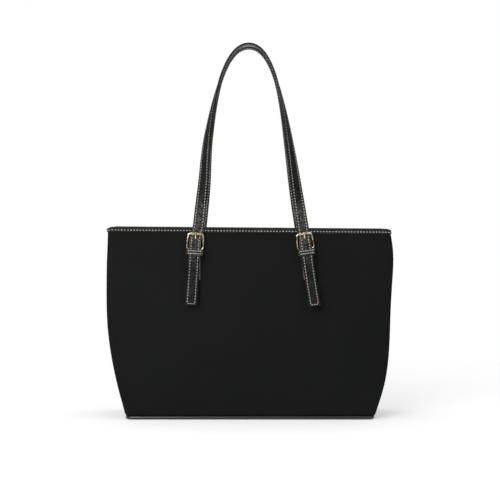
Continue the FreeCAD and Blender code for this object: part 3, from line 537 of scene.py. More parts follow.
def plastic(name, colour, light):
    """Textured board: pressed grain over a slightly cloudy colour."""
    made, tree, where = new_material(name)
    grain = noise(tree, where, 600.0, 3.0)
    shade(tree, Base_Color=mixed(tree, noise(tree, where, 18.0, 3.0), colour, light))
    shade(tree, Roughness=scaled(tree, grain, 0.3, 0.7, 0.5, 0.7))
    shade(tree, Normal=bumped(tree, grain, 0.15 * MM, 0.4))
    return made


# The straps and the rim have flecks as small as their grain
FLECKED = {"rough": 0.34, "cloud_scale": 260}
PANEL = leather("panel_leather", linear(10, 12, 11), linear(19, 20, 19), 0.9 * MM, 0.05 * MM, 0.6, gloss=0.1)
FLAP = leather("flap_leather", linear(16), linear(28, 28, 27), 0.9 * MM, 0.06 * MM, 0.55, gloss=0.2)
STRAP = leather(
    "strap_leather",
    linear(6),
    linear(76, 75, 73),
    1.9 * MM,
    0.45 * MM,
    gloss=0.12,
    mottle=0.9,
    # Painted sheen: the strap is made lighter round the rim's height, standing in for light grazing it
    # there.
    sheen_band=(292 * MM, 60 * MM, 4.2),
    **FLECKED,
)
RIM = leather("rim_leather", linear(8), linear(64), 1.7 * MM, 0.35 * MM, mottle=0.8, gloss=0.2, **FLECKED)
EDGE = leather("edge_paint", linear(6), linear(18), 2.5 * MM, 0.03 * MM, 0.25, gloss=0.25, coat=0.15)
PIPING = leather(
    "piping_leather", linear(8), linear(22, 22, 23), 1.6 * MM, 0.04 * MM, 0.22, gloss=0.45, coat=0.5
)
LINING = cloth("lining_fabric", linear(17, 17, 19), linear(32, 32, 35), 1.1 * MM, 0.12 * MM, rough=0.85)
TAPE = cloth("zip_tape", linear(14, 14, 15), linear(26, 26, 27), 0.7 * MM, 0.1 * MM, rough=0.75)
GOLD = metal("buckle_metal", (0.92, 0.80, 0.55, 1), (0.15, 0.09, 0.02, 1), rough=0.14)
ZIP_GOLD = metal("zip_metal", (0.70, 0.53, 0.25, 1), (0.32, 0.21, 0.08, 1), rough=0.26)
THREADS = thread("cream_thread", linear(202, 195, 186), linear(140, 133, 125))
BLACK = thread("black_thread", linear(40, 40, 41), linear(22))
BOARD = plastic("base_board", linear(40, 39, 38), linear(54, 52, 50))


def at_back(name):
    return name.replace("front", "back")


def place(name, surface, materials, slot, body="bag", nodes=(), blend=None, both_sides=False, crease=50):
    """A piece that stands for CAD nodes and rides on a body, and its twin at the back when asked."""
    twins = [(name, surface, nodes, body, blend)]
    if both_sides:
        bend = blend and (at_back(blend[0]), at_back(blend[1]), *blend[2:])
        backs = [at_back(node) for node in nodes]
        twins.append((at_back(name), mirrored(surface), backs, at_back(body), bend))
    for twin, shape, stands_for, rider, bend in twins:
        piece = make_piece(twin, shape, materials, crease)
        if stands_for:
            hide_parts(*stands_for)
        if bend:
            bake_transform(piece)
        else:
            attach(piece, rider)


def sew(name, lines, pitch, material=THREADS, slot="strap_leather", **rides):
    """A piece of thread along lines, which rides with what it holds, or stays where it is laid when given a
    blend.
    """
    place(name, stitch(lines, pitch), [material], slot, **rides)


# The bag's soft body. Every layer goes through slouch(), so they stay nested.

HALF_WIDTH = profile("right_gusset", 0)
HALF_DEPTH = profile("front_panel", 1)
RIM_LOW, RIM_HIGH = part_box("rim_binding")
RIM_TOP = RIM_HIGH.z
RIM_PROUD, RIM_INSIDE = 2 * MM, 4.3 * MM
RIM_SHEET, RIM_SEAM = 1 * MM, 2.9 * MM
RIM_CORNER = 5 * MM
BODY_TOP = RIM_TOP - 3 * MM
BODY_FOOT = 3 * MM
LINING_INSET, LINING_SHEET = 2.2 * MM, 0.7 * MM

# How it settles: gussets tucked in and creased, panels full and uneven, the rim tilted, its corners soft
TUCK, CREASE = 13 * MM, 1 * MM
BELLY, UNEVEN = 4 * MM, 1.3 * MM
TILT, SOFT_LEFT, SOFT_RIGHT = 1.8 * MM, 3 * MM, 1.4 * MM
LEAN = spline(
    np.array([0, 60, 107, 160, 225, 270, 295]) * MM,
    np.array([0.2, 1.2, -0.5, -2.0, -0.4, 0.0, -1.9]) * MM,
)


def gusset_tuck(y, z, level, face):
    """How far the gussets are drawn in between the panels, less near the rim."""
    fold = 0.8 * (1 - face**2) + 0.25 * np.exp(-((y / (7 * MM)) ** 2))
    held = 1 - 0.92 * smooth(level, 215 * MM, 278 * MM)
    return TUCK * fold * held - CREASE * np.sin(38 * z + 30 * y) * (1 - face**2)


def panel_swell(x, z, level, side, swell):
    """How far the panels swell, full below the straps and uneven all over."""
    belly = np.sin(np.pi * np.minimum(level / (0.8 * RIM_TOP), 1)) ** 2 * (1 - side**2)
    wave = 0.5 * np.sin(17 * x + 9 * z + 1) + 0.35 * np.sin(31 * x - 22 * z)
    wave += 0.3 * np.sin(43 * z + 12 * x + 2)
    return BELLY * belly + UNEVEN * wave * swell * (1 - 0.6 * smooth(level, 170 * MM, 220 * MM))


def rim_drop(x, level, side):
    """How far the rim sinks: towards the right, and at its ends."""
    tilt = TILT * (x / RIM_HIGH.x + 0.15) * smooth(level, 150 * MM, 285 * MM)
    soft = np.where(x > 0, SOFT_RIGHT, SOFT_LEFT)
    return tilt + soft * smooth(abs(side), 0.965, 1) * smooth(level, 285 * MM, 296 * MM)


def slouch(points):
    """Where points of the soft body settle."""
    x, y, z = np.moveaxis(points, -1, 0)
    level = np.clip(z, 0, RIM_TOP)
    side, face = x / HALF_WIDTH(level), y / HALF_DEPTH(level)
    swell = np.sin(np.pi * level / RIM_TOP)
    inwards = side**5 * swell * gusset_tuck(y, z, level, face)
    outwards = face**3 * panel_swell(x, z, level, side, swell)
    return np.stack([x - inwards + LEAN(level), y + outwards, z - rim_drop(x, level, side)], axis=-1)


def body_loop(height, inset, groove=0.0):
    """The body's outline at a height, drawn in by an inset."""
    corner = 4.5 * MM + 4.5 * MM * (1 - smooth(height, 0, 50 * MM))
    pairs = loop(HALF_WIDTH(height) - inset, HALF_DEPTH(height) - inset, corner - inset, groove=groove)
    return raise_loop(pairs, height)


def make_shell():
    """Front, gussets and back as one lofted sheet, tucked behind the piping at its foot."""
    low = BODY_FOOT + np.array([0, 1.5, 3]) * MM
    heights = np.concatenate([low, np.linspace(BODY_FOOT + 6 * MM, BODY_TOP, 52)])
    tuck = 2.2 * MM * (1 - smooth(heights, BODY_FOOT, BODY_FOOT + 5 * MM))
    outer = [body_loop(height, inset, 0.9 * MM) for height, inset in zip(heights, tuck)]
    inner = [body_loop(height, inset + SHEET) for height, inset in zip(heights, tuck)]
    surface = slab(slouch(np.array(outer)), slouch(np.array(inner)), ring=True)
    nodes = ["front_panel", "back_panel", "left_gusset", "right_gusset"]
    place("body_shell", surface, [PANEL], "panel_leather", nodes=nodes, crease=35)


def tile(half_x, half_y, radius, rows=14, columns=40):
    """A grid over a rounded rectangle, as x and y."""
    u, v = np.meshgrid(np.linspace(-1, 1, columns), np.linspace(-1, 1, rows))
    x, y = u * half_x, v * half_y
    p = np.clip((abs(x) - half_x + radius) / radius, 0, 1)
    q = np.clip((abs(y) - half_y + radius) / radius, 0, 1)
    round_x = half_x - radius + radius * p * np.sqrt(1 - q**2 / 2)
    round_y = half_y - radius + radius * q * np.sqrt(1 - p**2 / 2)
    corner = (p > 0) & (q > 0)
    return np.where(corner, np.sign(x) * round_x, x), np.where(corner, np.sign(y) * round_y, y)


def make_base():
    """The base's leather, bulging down a little and reaching under the piping."""
    low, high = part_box("base_panel")
    x, y = tile(high.x + 2 * MM, high.y + 2 * MM, 9 * MM)
    crown = 0.5 * MM * (1 - (x / high.x) ** 4) * (1 - (y / high.y) ** 4)
    bottom = np.stack([x, y, low.z + 0.5 * MM - crown], axis=-1)
    top = bottom + (0, 0, high.z - low.z)
    place("base_leather", slab(top, bottom), [PANEL], "panel_leather", nodes=["base_panel"])


def make_piping():
    """The slightly rippled cord round the base."""
    low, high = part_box("base_piping")
    radius = (high.z - low.z) / 2
    rings = []
    for angle in np.linspace(0, 2 * math.pi, 14, endpoint=False):
        out = radius * (math.cos(angle) - 1)
        pairs = loop(high.x + out, high.y + out, 11 * MM + out)
        ripple = 1 + 0.02 * np.sin(0.9 * np.arange(len(pairs)))
        height = (low.z + high.z) / 2 + radius * math.sin(angle) * ripple
        rings.append(np.column_stack([pairs, height]))
    place("base_piping_leather", tube(np.array(rings)), [PIPING], "piping", nodes=["base_piping"])


def rim_loop(out, height, **counts):
    """The rim's outline at a distance out from the body's."""
    half_x, half_y = RIM_HIGH.x - RIM_PROUD, RIM_HIGH.y - RIM_PROUD
    return raise_loop(loop(half_x + out, half_y + out, RIM_CORNER + out, **counts), height)


def rim_fold():
    """The binding's section from hem to hem, as distances out from the body and heights."""
    middle, half = (RIM_PROUD - RIM_INSIDE) / 2, (RIM_PROUD + RIM_INSIDE) / 2
    bend = 2.8 * MM
    turn = np.linspace(0, math.pi, 9)
    arch = np.stack([middle + half * np.cos(turn), RIM_TOP - bend + bend * np.sin(turn)], axis=1)
    groove = 0.9 * MM
    rise = np.array([0, 0.4 * MM, 1.2 * MM, RIM_SEAM - groove, RIM_SEAM, RIM_SEAM + groove])
    outer = [(RIM_PROUD, RIM_LOW.z + height) for height in rise]
    inner = [(-RIM_INSIDE, RIM_LOW.z + height) for height in rise[::-1]]
    return np.concatenate([outer, arch, inner])


def make_rim():
    """The leather folded over the top edge, grooved along its seams."""
    fold = rim_fold()
    run, across = lengths(fold), tangents(fold)
    normal = np.stack([across[:, 1], -across[:, 0]], axis=1)
    sheet = RIM_SHEET * rounding(np.minimum(run, run[-1] - run), RIM_SHEET)
    sheet[abs(fold[:, 1] - RIM_LOW.z - RIM_SEAM) < 1e-6] *= GROOVED
    core = fold - 0.5 * RIM_SHEET * normal
    half = 0.5 * sheet[:, None] * normal
    upper, lower = (np.array([rim_loop(*point) for point in face]) for face in (core + half, core - half))
    surface = slab(slouch(upper), slouch(lower), ring=True)
    place("rim_leather_binding", surface, [RIM], "strap_leather", nodes=["rim_binding"], crease=60)


def sew_rim():
    lines = []
    for out, way in ((RIM_PROUD, 1), (-RIM_INSIDE, -1)):
        path = rim_loop(out, RIM_LOW.z + RIM_SEAM, along_x=160, along_y=40)
        path = slouch(np.concatenate([path, path[:1]]))
        level = unit(np.cross(tangents(path, closed=True), (0, 0, 1)))
        lines.append((path, way * level))
    sew("rim_stitching", lines, RIM_PITCH)


POCKET_LOW, POCKET_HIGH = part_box("zip_pocket_welt")


def lining_walls(foot):
    """The lining's walls, slit behind the zip pocket."""
    heights = np.linspace(foot, BODY_TOP + 1 * MM, 50)
    outer = np.array([body_loop(height, LINING_INSET) for height in heights])
    inner = np.array([body_loop(height, LINING_INSET + LINING_SHEET) for height in heights])
    x, y, z = np.moveaxis((outer[:-1] + outer[1:]) / 2, -1, 0)
    hidden = 4 * MM
    slit = (y > 0) & (abs(x) < POCKET_HIGH.x - hidden)
    slit &= (z > POCKET_LOW.z + hidden) & (z < POCKET_HIGH.z - hidden)
    slit &= np.roll(slit, -1, axis=1) | np.roll(slit, 1, axis=1)
    return slab(slouch(outer), slouch(inner), mask=~slit, ring=True)


def lining_floor(foot):
    x, y = tile(HALF_WIDTH(foot) - 3.2 * MM, HALF_DEPTH(foot) - 3.2 * MM, 7 * MM)
    puff = 1.2 * MM * (1 - (x / x.max()) ** 6) * (1 - (y / y.max()) ** 4)
    bottom = np.stack([x, y, np.full_like(x, foot + 0.2 * MM)], axis=-1)
    top = np.stack([x, y, foot + 0.2 * MM + LINING_SHEET + puff], axis=-1)
    return slab(top, bottom)


def make_lining():
    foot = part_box("lining")[0].z
    surface = join(lining_walls(foot), lining_floor(foot))
    place("lining_cloth", surface, [LINING], "lining_fabric", nodes=["lining"], crease=40)


# Straps, laid out from each buckle's heel bar: x along the bar, y into the bag, z up the strap

TAIL_PATH = [(-5.6, -87), (-4.5, -72), (-3.5, -55), (-3.3, -38), (-4.2, -24), (-5.15, -12)]
BUCKLE_PATH = [(-5.2, -5), (-5.0, 2), (-4.3, 8), (-3.2, 13), (-1.9, 16.8), (0.0, 20.2), (1.4, 22.8)]
RIM_PATH = [(1.75, 25.5), (1.5, 30.5), (1.2, 35.2)]
FOOT_PATH = np.array(TAIL_PATH + BUCKLE_PATH + RIM_PATH) * MM
FOOT_STEPS, ARCH_STEPS = 90, 160
TAIL = -FOOT_PATH[0, 1]

# The right tail is longer and curls off the panel, and the left leg sways above the rim
LONGER = {"left": 0.0, "right": 3 * MM}
LIFT = {"left": 0.0, "right": 8 * MM}
SIDEWAYS = {"left": 3.4 * MM, "right": 0.0}

# The arch leaves each leg towards LEG_PULL, and comes to the crown from CROWN_PULL
LEG_PULL = {"left": -68 * MM, "right": 57.9 * MM}
CROWN_PULL = {"left": -53.9 * MM, "right": 50.1 * MM}
PULL_HEIGHT = 434 * MM
CROWN_X = -1.9 * MM
CROWN_GAP = 16.5 * MM


def foot_frame(end):
    """Origin and axes of a front buckle's frame: its prong's hinge, and the handle's on the strap's face."""
    prong, swing = JOINTS[f"front_{end}_prong_lift"], JOINTS["front_handle_swing"]
    origin, bar = np.array(prong["pos_m"]), np.array(prong["axis"])
    up = np.array(swing["pos_m"]) - origin
    up[0] = -up[2] * bar[2] / bar[0]
    up = unit(up)
    split_y, split_z = FOOT_PATH[-1]
    tilt = math.atan2(STRAP_SHEET / 2 - split_y, split_z)
    rise = math.cos(tilt) * up + math.sin(tilt) * np.cross(up, bar)
    return origin, np.array([bar, np.cross(rise, bar), rise])


def on_foot(end, points):
    """Points of a buckle's frame in the row frame."""
    origin, axes = foot_frame(end)
    return origin + np.asarray(points) @ axes


def bezier(controls, steps):
    share = np.linspace(0, 1, steps)[:, None]
    weights = ((1 - share) ** 3, 3 * (1 - share) ** 2 * share, 3 * (1 - share) * share**2, share**3)
    return sum(weight * control for weight, control in zip(weights, controls))


def strap_foot(end):
    """The strap's course from its tail through the keeper and the buckle to the handle."""
    sides = FOOT_PATH.copy()
    sides[0, 1] -= LONGER[end]
    run = lengths(sides)
    y, z = spline(run, sides)(np.linspace(0, run[-1], FOOT_STEPS)).T
    loose = LIFT[end] * np.clip(-z / TAIL, 0, None) ** 4
    return on_foot(end, np.column_stack([np.zeros(FOOT_STEPS), y - loose, z]))


def strap_arch(end, start):
    """The strap's course from a start point along its leg's direction up to the crown."""
    up = foot_frame(end)[1][2]
    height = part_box("front_handle")[1].z - STRAP_SHEET / 2
    leg_y = start[1] + (PULL_HEIGHT - start[2]) * up[1] / up[2]
    leg_pull = (LEG_PULL[end], leg_y, PULL_HEIGHT)
    crown_pull, crown = (CROWN_PULL[end], -CROWN_GAP, height), (CROWN_X, -CROWN_GAP, height)
    return bezier(np.array([start, leg_pull, crown_pull, crown]), ARCH_STEPS)


def strap_facing(end, path):
    """The strap faces the front at its foot and turns outwards towards the crown."""
    tangent = tangents(path)
    front = unit(np.array([0, -1, 0]) + tangent * tangent[:, 1:2])
    outward = unit(np.cross(tangent if end == "left" else -tangent, (0, 1, 0)))
    angle = math.pi / 2 * np.clip((path[:, 2:] - 300 * MM) / (230 * MM), 0, 1)
    return front * np.cos(angle) + outward * np.sin(angle)


def strap_leg(end):
    """Path and facing of one leg, from its tail up to the crown."""
    foot = strap_foot(end)
    path = np.concatenate([foot, strap_arch(end, foot[-1])[1:]])
    facing = strap_facing(end, path)
    sway = smooth(path[:, 2], 272 * MM, 299 * MM) - smooth(path[:, 2], 350 * MM, 440 * MM)
    path[:, 0] += SIDEWAYS[end] * sway
    return path, facing


def strap_seams(strap):
    """Seams along a strap's edges and across its ends, sunk into it near the crown."""
    lines = []
    for line in strap.rows(STRAP_SEAM, (1, -1)):
        path, out = shortened(line, STRAP_SEAM)
        sunk = 0.45 * MM * smooth(path[:, 2:], 380 * MM, 460 * MM)
        lines.append((path - sunk * out, out))
    ends = [strap.cross(STRAP_SEAM, STRAP_SEAM, side, end) for end in (False, True) for side in (1, -1)]
    return lines + ends


def make_straps():
    """Each handle is one strap from tail to tail, running from the bag up past the rim into the handle."""
    legs = [strap_leg(end) for end in ENDS]
    path, facing = (np.concatenate([left, right[-2::-1]]) for left, right in zip(*legs))
    holes = [TAIL + hole for hole in HOLES]
    holes += [lengths(path)[-1] - LONGER["right"] - hole for hole in holes]
    strap = strip(
        path,
        facing,
        STRAP_WIDTH,
        STRAP_SHEET,
        spacing=3.2 * MM,
        seam=STRAP_SEAM,
        corner=1.6 * MM,
        holes=holes,
        hole_radius=HOLE_RADIUS,
        edge_paint=1,
    )
    _, y, z = JOINTS["front_handle_swing"]["pos_m"]
    blend = ("bag", "front_handle", (0, y, z - 6 * MM), (0, y, z + 14 * MM))
    rides = {"blend": blend, "both_sides": True}
    nodes = ["front_handle", "front_left_strap_end", "front_right_strap_end"]
    place("front_strap", strap.surface, [STRAP, EDGE], "strap_leather", nodes=nodes, **rides)
    sew("front_strap_stitching", strap_seams(strap), STRAP_PITCH, **rides)


TAB_INNER, TAB_SHEET, TAB_DROP, TAB_FRONT = 1.75 * MM, 1.6 * MM, 48 * MM, 9.6 * MM
TAB_SEAM = 2.4 * MM
TAB_SWAY = {"left": 4.2 * MM, "right": -2.8 * MM}
SLOT_HALF, SLOT_DROP = 2.3 * MM, 4 * MM


def tab_fold():
    """A tab's side view, from its back leg's foot over the heel bar to its front one's, and its normals."""
    middle = TAB_INNER + TAB_SHEET / 2
    back = [(middle, z) for z in np.linspace(-TAB_DROP, 0, 30)[:-1]]
    over = [(middle * math.cos(a), middle * math.sin(a)) for a in np.linspace(0, math.pi, 16)]
    front = [(-middle, z) for z in np.linspace(0, -TAB_FRONT, 8)[1:]]
    side = np.array(back + over + front)
    ahead = tangents(side)
    return side, np.stack([ahead[:, 1], -ahead[:, 0]], axis=1)


def slotted(tab, height):
    """The tab's surface, opened along its middle near the heel bar."""
    rows = len(tab.path)
    upper, lower = tab.surface.points.reshape(2, rows, -1, 3)
    mask = np.ones((rows - 1, upper.shape[1] - 1), bool)
    near = (height[:-1] + height[1:]) / 2 > -SLOT_DROP
    centre = upper.shape[1] // 2
    mask[near, centre - 1 : centre + 1] = False
    return slab(upper, lower, mask, wall_paint=1)


def make_anchor_tab(end):
    """The leather folded over a heel bar, slotted for the prong and sewn on a little askew."""
    side, normal = tab_fold()
    drop = -side[:, 1]
    askew = TAB_SWAY[end] * (0.45 * smooth(drop, 0, 10 * MM) + 0.55 * smooth(drop, 5 * MM, 60 * MM))
    path = on_foot(end, np.column_stack([askew * (side[:, 0] > 0), side]))
    origin, axes = foot_frame(end)
    facing = np.column_stack([np.zeros(len(side)), normal]) @ axes
    tab = strip(path, facing, STRAP_WIDTH, TAB_SHEET, 2.2 * MM, TAB_SEAM, 1 * MM, hole_radius=SLOT_HALF)
    _, depth, height = ((tab.path - origin) @ axes.T).T
    name = f"front_{end}_anchor_tab"
    surface = slotted(tab, height)
    place(f"{name}_leather", surface, [STRAP, EDGE], "strap_leather", nodes=[name], both_sides=True)
    hanging = (depth > 0) & (height < -6 * MM)
    # The seams start clear of the tab's rounded foot
    lines = [(points[hanging][3:], tab.facing[hanging][3:]) for points, _ in tab.rows(TAB_SEAM, (-1,))]
    sew(f"{name}_stitching", lines, SMALL_PITCH, both_sides=True)


KEEPER_TOP, KEEPER_DROP, KEEPER_SHEET = -1.4 * MM, 8.8 * MM, 1.3 * MM
KEEPER_FRONT, KEEPER_BACK, KEEPER_HALF = -8.3 * MM, 4.7 * MM, 13 * MM
KEEPER_SEAMS = (0.27, 0.73)


def keeper_ring(end, drop, inset):
    """A keeper's outline at a distance below its top edge, fullest half way down."""
    half_depth = (KEEPER_BACK - KEEPER_FRONT) / 2
    pairs = loop(KEEPER_HALF - inset, half_depth - inset, 3.2 * MM - inset, along_x=16, along_y=8, corner=5)
    fuller = 0.35 * MM * (1 - (2 * drop / KEEPER_DROP - 1) ** 2)
    x, y = pairs.T * (1 + fuller / KEEPER_HALF)
    middle = (KEEPER_FRONT + KEEPER_BACK) / 2
    return on_foot(end, np.column_stack([x, y + middle, np.full(len(x), KEEPER_TOP - drop)]))


def make_keeper(end):
    """The loop round a strap just under its buckle, grooved along its seams."""
    marks = np.concatenate([edge_marks(KEEPER_SHEET), np.array([0.22, 0.27, 0.32]) * KEEPER_DROP])
    drops = np.unique(np.concatenate([marks, [KEEPER_DROP / 2], KEEPER_DROP - marks]))
    thickness = KEEPER_SHEET * rounding(np.minimum(drops, KEEPER_DROP - drops), KEEPER_SHEET)
    for seam in KEEPER_SEAMS:
        thickness[abs(drops - seam * KEEPER_DROP) < 1e-6] *= GROOVED
    insets = [(KEEPER_SHEET + side * thickness) / 2 for side in (-1, 1)]
    faces = [np.array([keeper_ring(end, *ring) for ring in zip(drops, inset)]) for inset in insets]
    name = f"front_{end}_keeper"
    surface = slab(*faces, ring=True)
    place(f"{name}_leather", surface, [STRAP], "strap_leather", nodes=[name], both_sides=True, crease=60)


def sew_keeper(end):
    """Two seams across the keeper's front."""
    origin, axes = foot_frame(end)
    lines = []
    for seam in KEEPER_SEAMS:
        path = keeper_ring(end, seam * KEEPER_DROP, 0)
        x, depth, _ = ((path - origin) @ axes.T).T
        path = path[(depth < -6 * MM) & (abs(x) < KEEPER_HALF - 1.6 * MM)]
        lines.append((path, unit(np.cross(tangents(path), axes[2]))))
    sew(f"front_{end}_keeper_stitching", lines, SMALL_PITCH, both_sides=True)


# The zip closure

FLAP_LOW, FLAP_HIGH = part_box("front_zip_flap")
FLAP_Y = (FLAP_LOW.y + FLAP_HIGH.y) / 2
FLAP_X = np.linspace(FLAP_LOW.x, FLAP_HIGH.x, 120)
FLAP_WAVE = 0.35 * MM * np.sin(60 * FLAP_X) + 0.2 * MM * np.sin(131 * FLAP_X + 1)
FLAP_SEAM = 2.6 * MM


def flap_strip(depth, top, bottom, thickness, **settings):
    """A strip along the front flap, between two heights, facing into the bag."""
    path = np.column_stack([FLAP_X, depth, np.full_like(FLAP_X, (top + bottom) / 2)])
    facing = np.tile((0, 1.0, 0), (len(path), 1))
    return strip(path, facing, top - bottom, thickness, spacing=4 * MM, **settings)


def make_flaps():
    """The flaps that hold the zip, hanging from the rim."""
    rides = {"body": "front_flap", "both_sides": True}
    depth = FLAP_Y + 0.4 * FLAP_WAVE
    thickness = FLAP_HIGH.y - FLAP_LOW.y
    flap = flap_strip(depth, FLAP_HIGH.z, FLAP_LOW.z, thickness, seam=FLAP_SEAM, corner=2 * MM)
    place("front_flap_leather", flap.surface, [FLAP], "flap_leather", nodes=["front_zip_flap"], **rides)
    lines = flap.rows(FLAP_SEAM, (1, -1))
    sew("front_flap_stitching", lines, SMALL_PITCH, BLACK, **rides)

    low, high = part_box("front_zip_tape")
    depth = np.full_like(FLAP_X, FLAP_Y)
    tape = flap_strip(depth, high.z + 1 * MM, low.z, high.y - low.y)
    place("front_zip_tape_cloth", tape.surface, [TAPE], "zip_tape", nodes=["front_zip_tape"], **rides)


def make_webs():
    """The soft cloth that hangs each flap from the rim."""
    hinge = JOINTS["front_flap_lift"]["pos_m"][2]
    height = np.linspace(hinge - 1.6 * MM, RIM_LOW.z + 3 * MM, 14)[:, None]
    rim_y = RIM_PROUD + RIM_INSIDE - RIM_HIGH.y - 0.3 * MM
    depth = FLAP_Y + (rim_y - FLAP_Y) * smooth(height, hinge, height[-1])
    grid = np.stack(np.broadcast_arrays(FLAP_X, depth + 0.3 * FLAP_WAVE, height), axis=-1)
    half = np.array([0, 0.3 * MM, 0])
    blend = ("bag", "front_flap", (0, FLAP_Y, hinge + 2.5 * MM), (0, FLAP_Y, hinge - 1 * MM))
    web = slab(grid + half, grid - half)
    place("front_flap_web", web, [LINING], "lining_fabric", blend=blend, both_sides=True)


def tape_pair(line, height, teeth, edge, thickness, spacing):
    """Level tapes along a line of x, from the teeth out to the edge on both sides."""
    facing = np.tile((0, 0, 1.0), (len(line), 1))
    sides = []
    for sign in (-1, 1):
        path = [(x, sign * (teeth + edge) / 2, height) for x in line]
        sides.append(strip(path, facing, edge - teeth, thickness, spacing).surface)
    return join(*sides)


def make_zip_end():
    """The zip's closed end: its tapes and the leather tab that holds them."""
    low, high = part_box("zip_end_tab")
    seam, height = 2.6 * MM, (low.z + high.z) / 2
    path = [(x, 0, height) for x in np.linspace(low.x - 2 * MM, high.x, 20)]
    facing = np.tile((0, 0, 1.0), (20, 1))
    size = (high.y - low.y, high.z - low.z)
    tab = strip(path, facing, *size, spacing=2.5 * MM, seam=seam, corner=3 * MM, edge_paint=1)
    place("zip_end_tab_leather", tab.surface, [STRAP, EDGE], "strap_leather", nodes=["zip_end_tab"])
    # The long seams start at one cross seam and run out past the other
    lines = [(points[4:-2], out[4:-2]) for points, out in tab.rows(seam)]
    lines += [tab.cross(2.8 * MM, 4 * MM, from_end=from_end) for from_end in (False, True)]
    sew("zip_end_tab_stitching", lines, 3.2 * MM)

    low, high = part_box("zip_end_tape")
    line = np.linspace(low.x, high.x, 20)
    surface = tape_pair(line, height, 3.3 * MM, high.y, high.z - low.z, 2.5 * MM)
    place("zip_end_tape_cloth", surface, [TAPE], "zip_tape", nodes=["zip_end_tape"])


# Inner pockets

WELT_BORDER, WELT_MOUTH, WELT_RISE = 7 * MM, 6 * MM, 2.8 * MM
WELT_SEAMS = (2.6 * MM, 4.4 * MM)
WELT_HALF = POCKET_HIGH.x - WELT_BORDER
PULL_LIFT = 7.6 * MM


def pocket_axes():
    """Origin and axes of the zip pocket: x along it, y up the wall, z into the bag."""
    pull = JOINTS["pocket_pull_swing"]
    up = np.array(pull["axis"])
    into = np.cross((1.0, 0, 0), up)
    origin = np.array(pull["pos_m"]) - PULL_LIFT * into
    origin[0] = 0
    return origin, np.array([(1.0, 0, 0), up, into])


def welt_ring(inset, radius, height):
    """The welt's outline at an inset from its outer edge, at a height over the wall."""
    origin, axes = pocket_axes()
    reach = WELT_BORDER - inset
    pairs = loop(WELT_HALF + reach, WELT_MOUTH + reach, radius, along_x=60, along_y=6, corner=5)
    return origin + raise_loop(pairs, height) @ axes


def make_welt():
    """The leather round the zip pocket's mouth, with two grooves and a seam along the outer one."""
    insets = np.array([0, 0.3, 1, 2, 2.6, 3.5, 4.4, 5, 6, 6.7, 7]) * MM
    share = rounding(np.minimum(insets, WELT_BORDER - insets), 1.6 * MM)
    height = WELT_RISE * (0.5 + 0.5 * share)
    for seam in WELT_SEAMS:
        height[abs(insets - seam) < 1e-6] -= 0.25 * MM
    radii = 3.5 * MM - 0.4 * insets
    upper = np.array([welt_ring(*ring) for ring in zip(insets, radii, height)])
    lower = np.array([welt_ring(inset, radius, -1 * MM) for inset, radius in zip(insets, radii)])
    surface = slab(upper, lower, ring=True)
    place("zip_pocket_welt_leather", surface, [FLAP], "strap_leather", nodes=["zip_pocket_welt"])
    path = welt_ring(WELT_SEAMS[0], 2.5 * MM, WELT_RISE - 0.2 * MM)
    path = np.concatenate([path, path[:1]])
    out = np.tile(pocket_axes()[1][2], (len(path), 1))
    sew("zip_pocket_stitching", [(path, out)], SMALL_PITCH, BLACK)


def make_pocket_tapes():
    origin, axes = pocket_axes()
    line = np.linspace(-WELT_HALF, WELT_HALF, 60)
    surface = tape_pair(line, 3.2 * MM, 3.35 * MM, WELT_MOUTH + 0.3 * MM, 0.8 * MM, 4 * MM)
    surface.points = origin + surface.points @ axes
    place("zip_pocket_tape_cloth", surface, [TAPE], "zip_tape", nodes=["zip_pocket_tape"])


def wall_point(x, z, inset, side):
    """A point of the settled front (side -1) or back wall, at an inset from its outer face."""
    return slouch(np.stack([x, side * (HALF_DEPTH(z) - inset), z], axis=-1))


def make_slip_pocket():
    """An open pocket on the front lining, whose hemmed mouth gapes and sags."""
    low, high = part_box("slip_pocket")
    x, z = np.meshgrid(np.linspace(low.x, high.x, 70), np.linspace(low.z, high.z, 34))
    rise = (z - low.z) / (high.z - low.z)
    gape = 0.4 * MM + 8 * MM * rise**1.5 * (1 - abs(x / high.x) ** 3) + 0.6 * MM * np.sin(45 * x) * rise
    sag = 4 * MM * rise**3 * (1 - (x / high.x) ** 2)
    thickness = 0.9 * MM * np.where(rise > 0.9, 1.8, 1.0)
    inset = LINING_INSET + LINING_SHEET + gape
    inner = wall_point(x, z - sag, inset + thickness, -1)
    outer = wall_point(x, z - sag, inset, -1)
    surface = slab(inner, outer)
    place("slip_pocket_cloth", surface, [LINING], "lining_fabric", nodes=["slip_pocket"], crease=70)
    seams = [inner[:, 1], inner[:, -2], inner[1], inner[-4]]
    lines = [(seam, np.tile((0, 1.0, 0), (len(seam), 1))) for seam in seams]
    sew("slip_pocket_stitching", lines, SMALL_PITCH, BLACK, slot="lining_fabric")


def make_zip_pocket_bag():
    """The zip pocket's bag, behind the back lining."""
    low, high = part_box("zip_pocket_bag")
    x, z = np.meshgrid(np.linspace(low.x, high.x, 40), np.linspace(low.z, high.z, 30))
    surface = slab(wall_point(x, z, 1.5 * MM, 1), wall_point(x, z, 2 * MM, 1))
    place("zip_pocket_bag_cloth", surface, [LINING], "lining_fabric", nodes=["zip_pocket_bag"])


# CAD nodes that stay as they are, with their finishes

FINISHES = {"board": BOARD, "buckle": GOLD, "prong": GOLD}
FINISHES |= dict.fromkeys(("pull", "slider", "stop", "teeth"), ZIP_GOLD)
SOFTENED = {"pull": 0.3 * MM, "slider": 0.3 * MM, "stop": 0.3 * MM, "teeth": 0.25 * MM}


def soften(node, width):
    bevel = node.modifiers.new("softened", "BEVEL")
    bevel.width = width
    bevel.segments = 2
    bevel.limit_method = "ANGLE"
    bevel.angle_limit = math.radians(40)


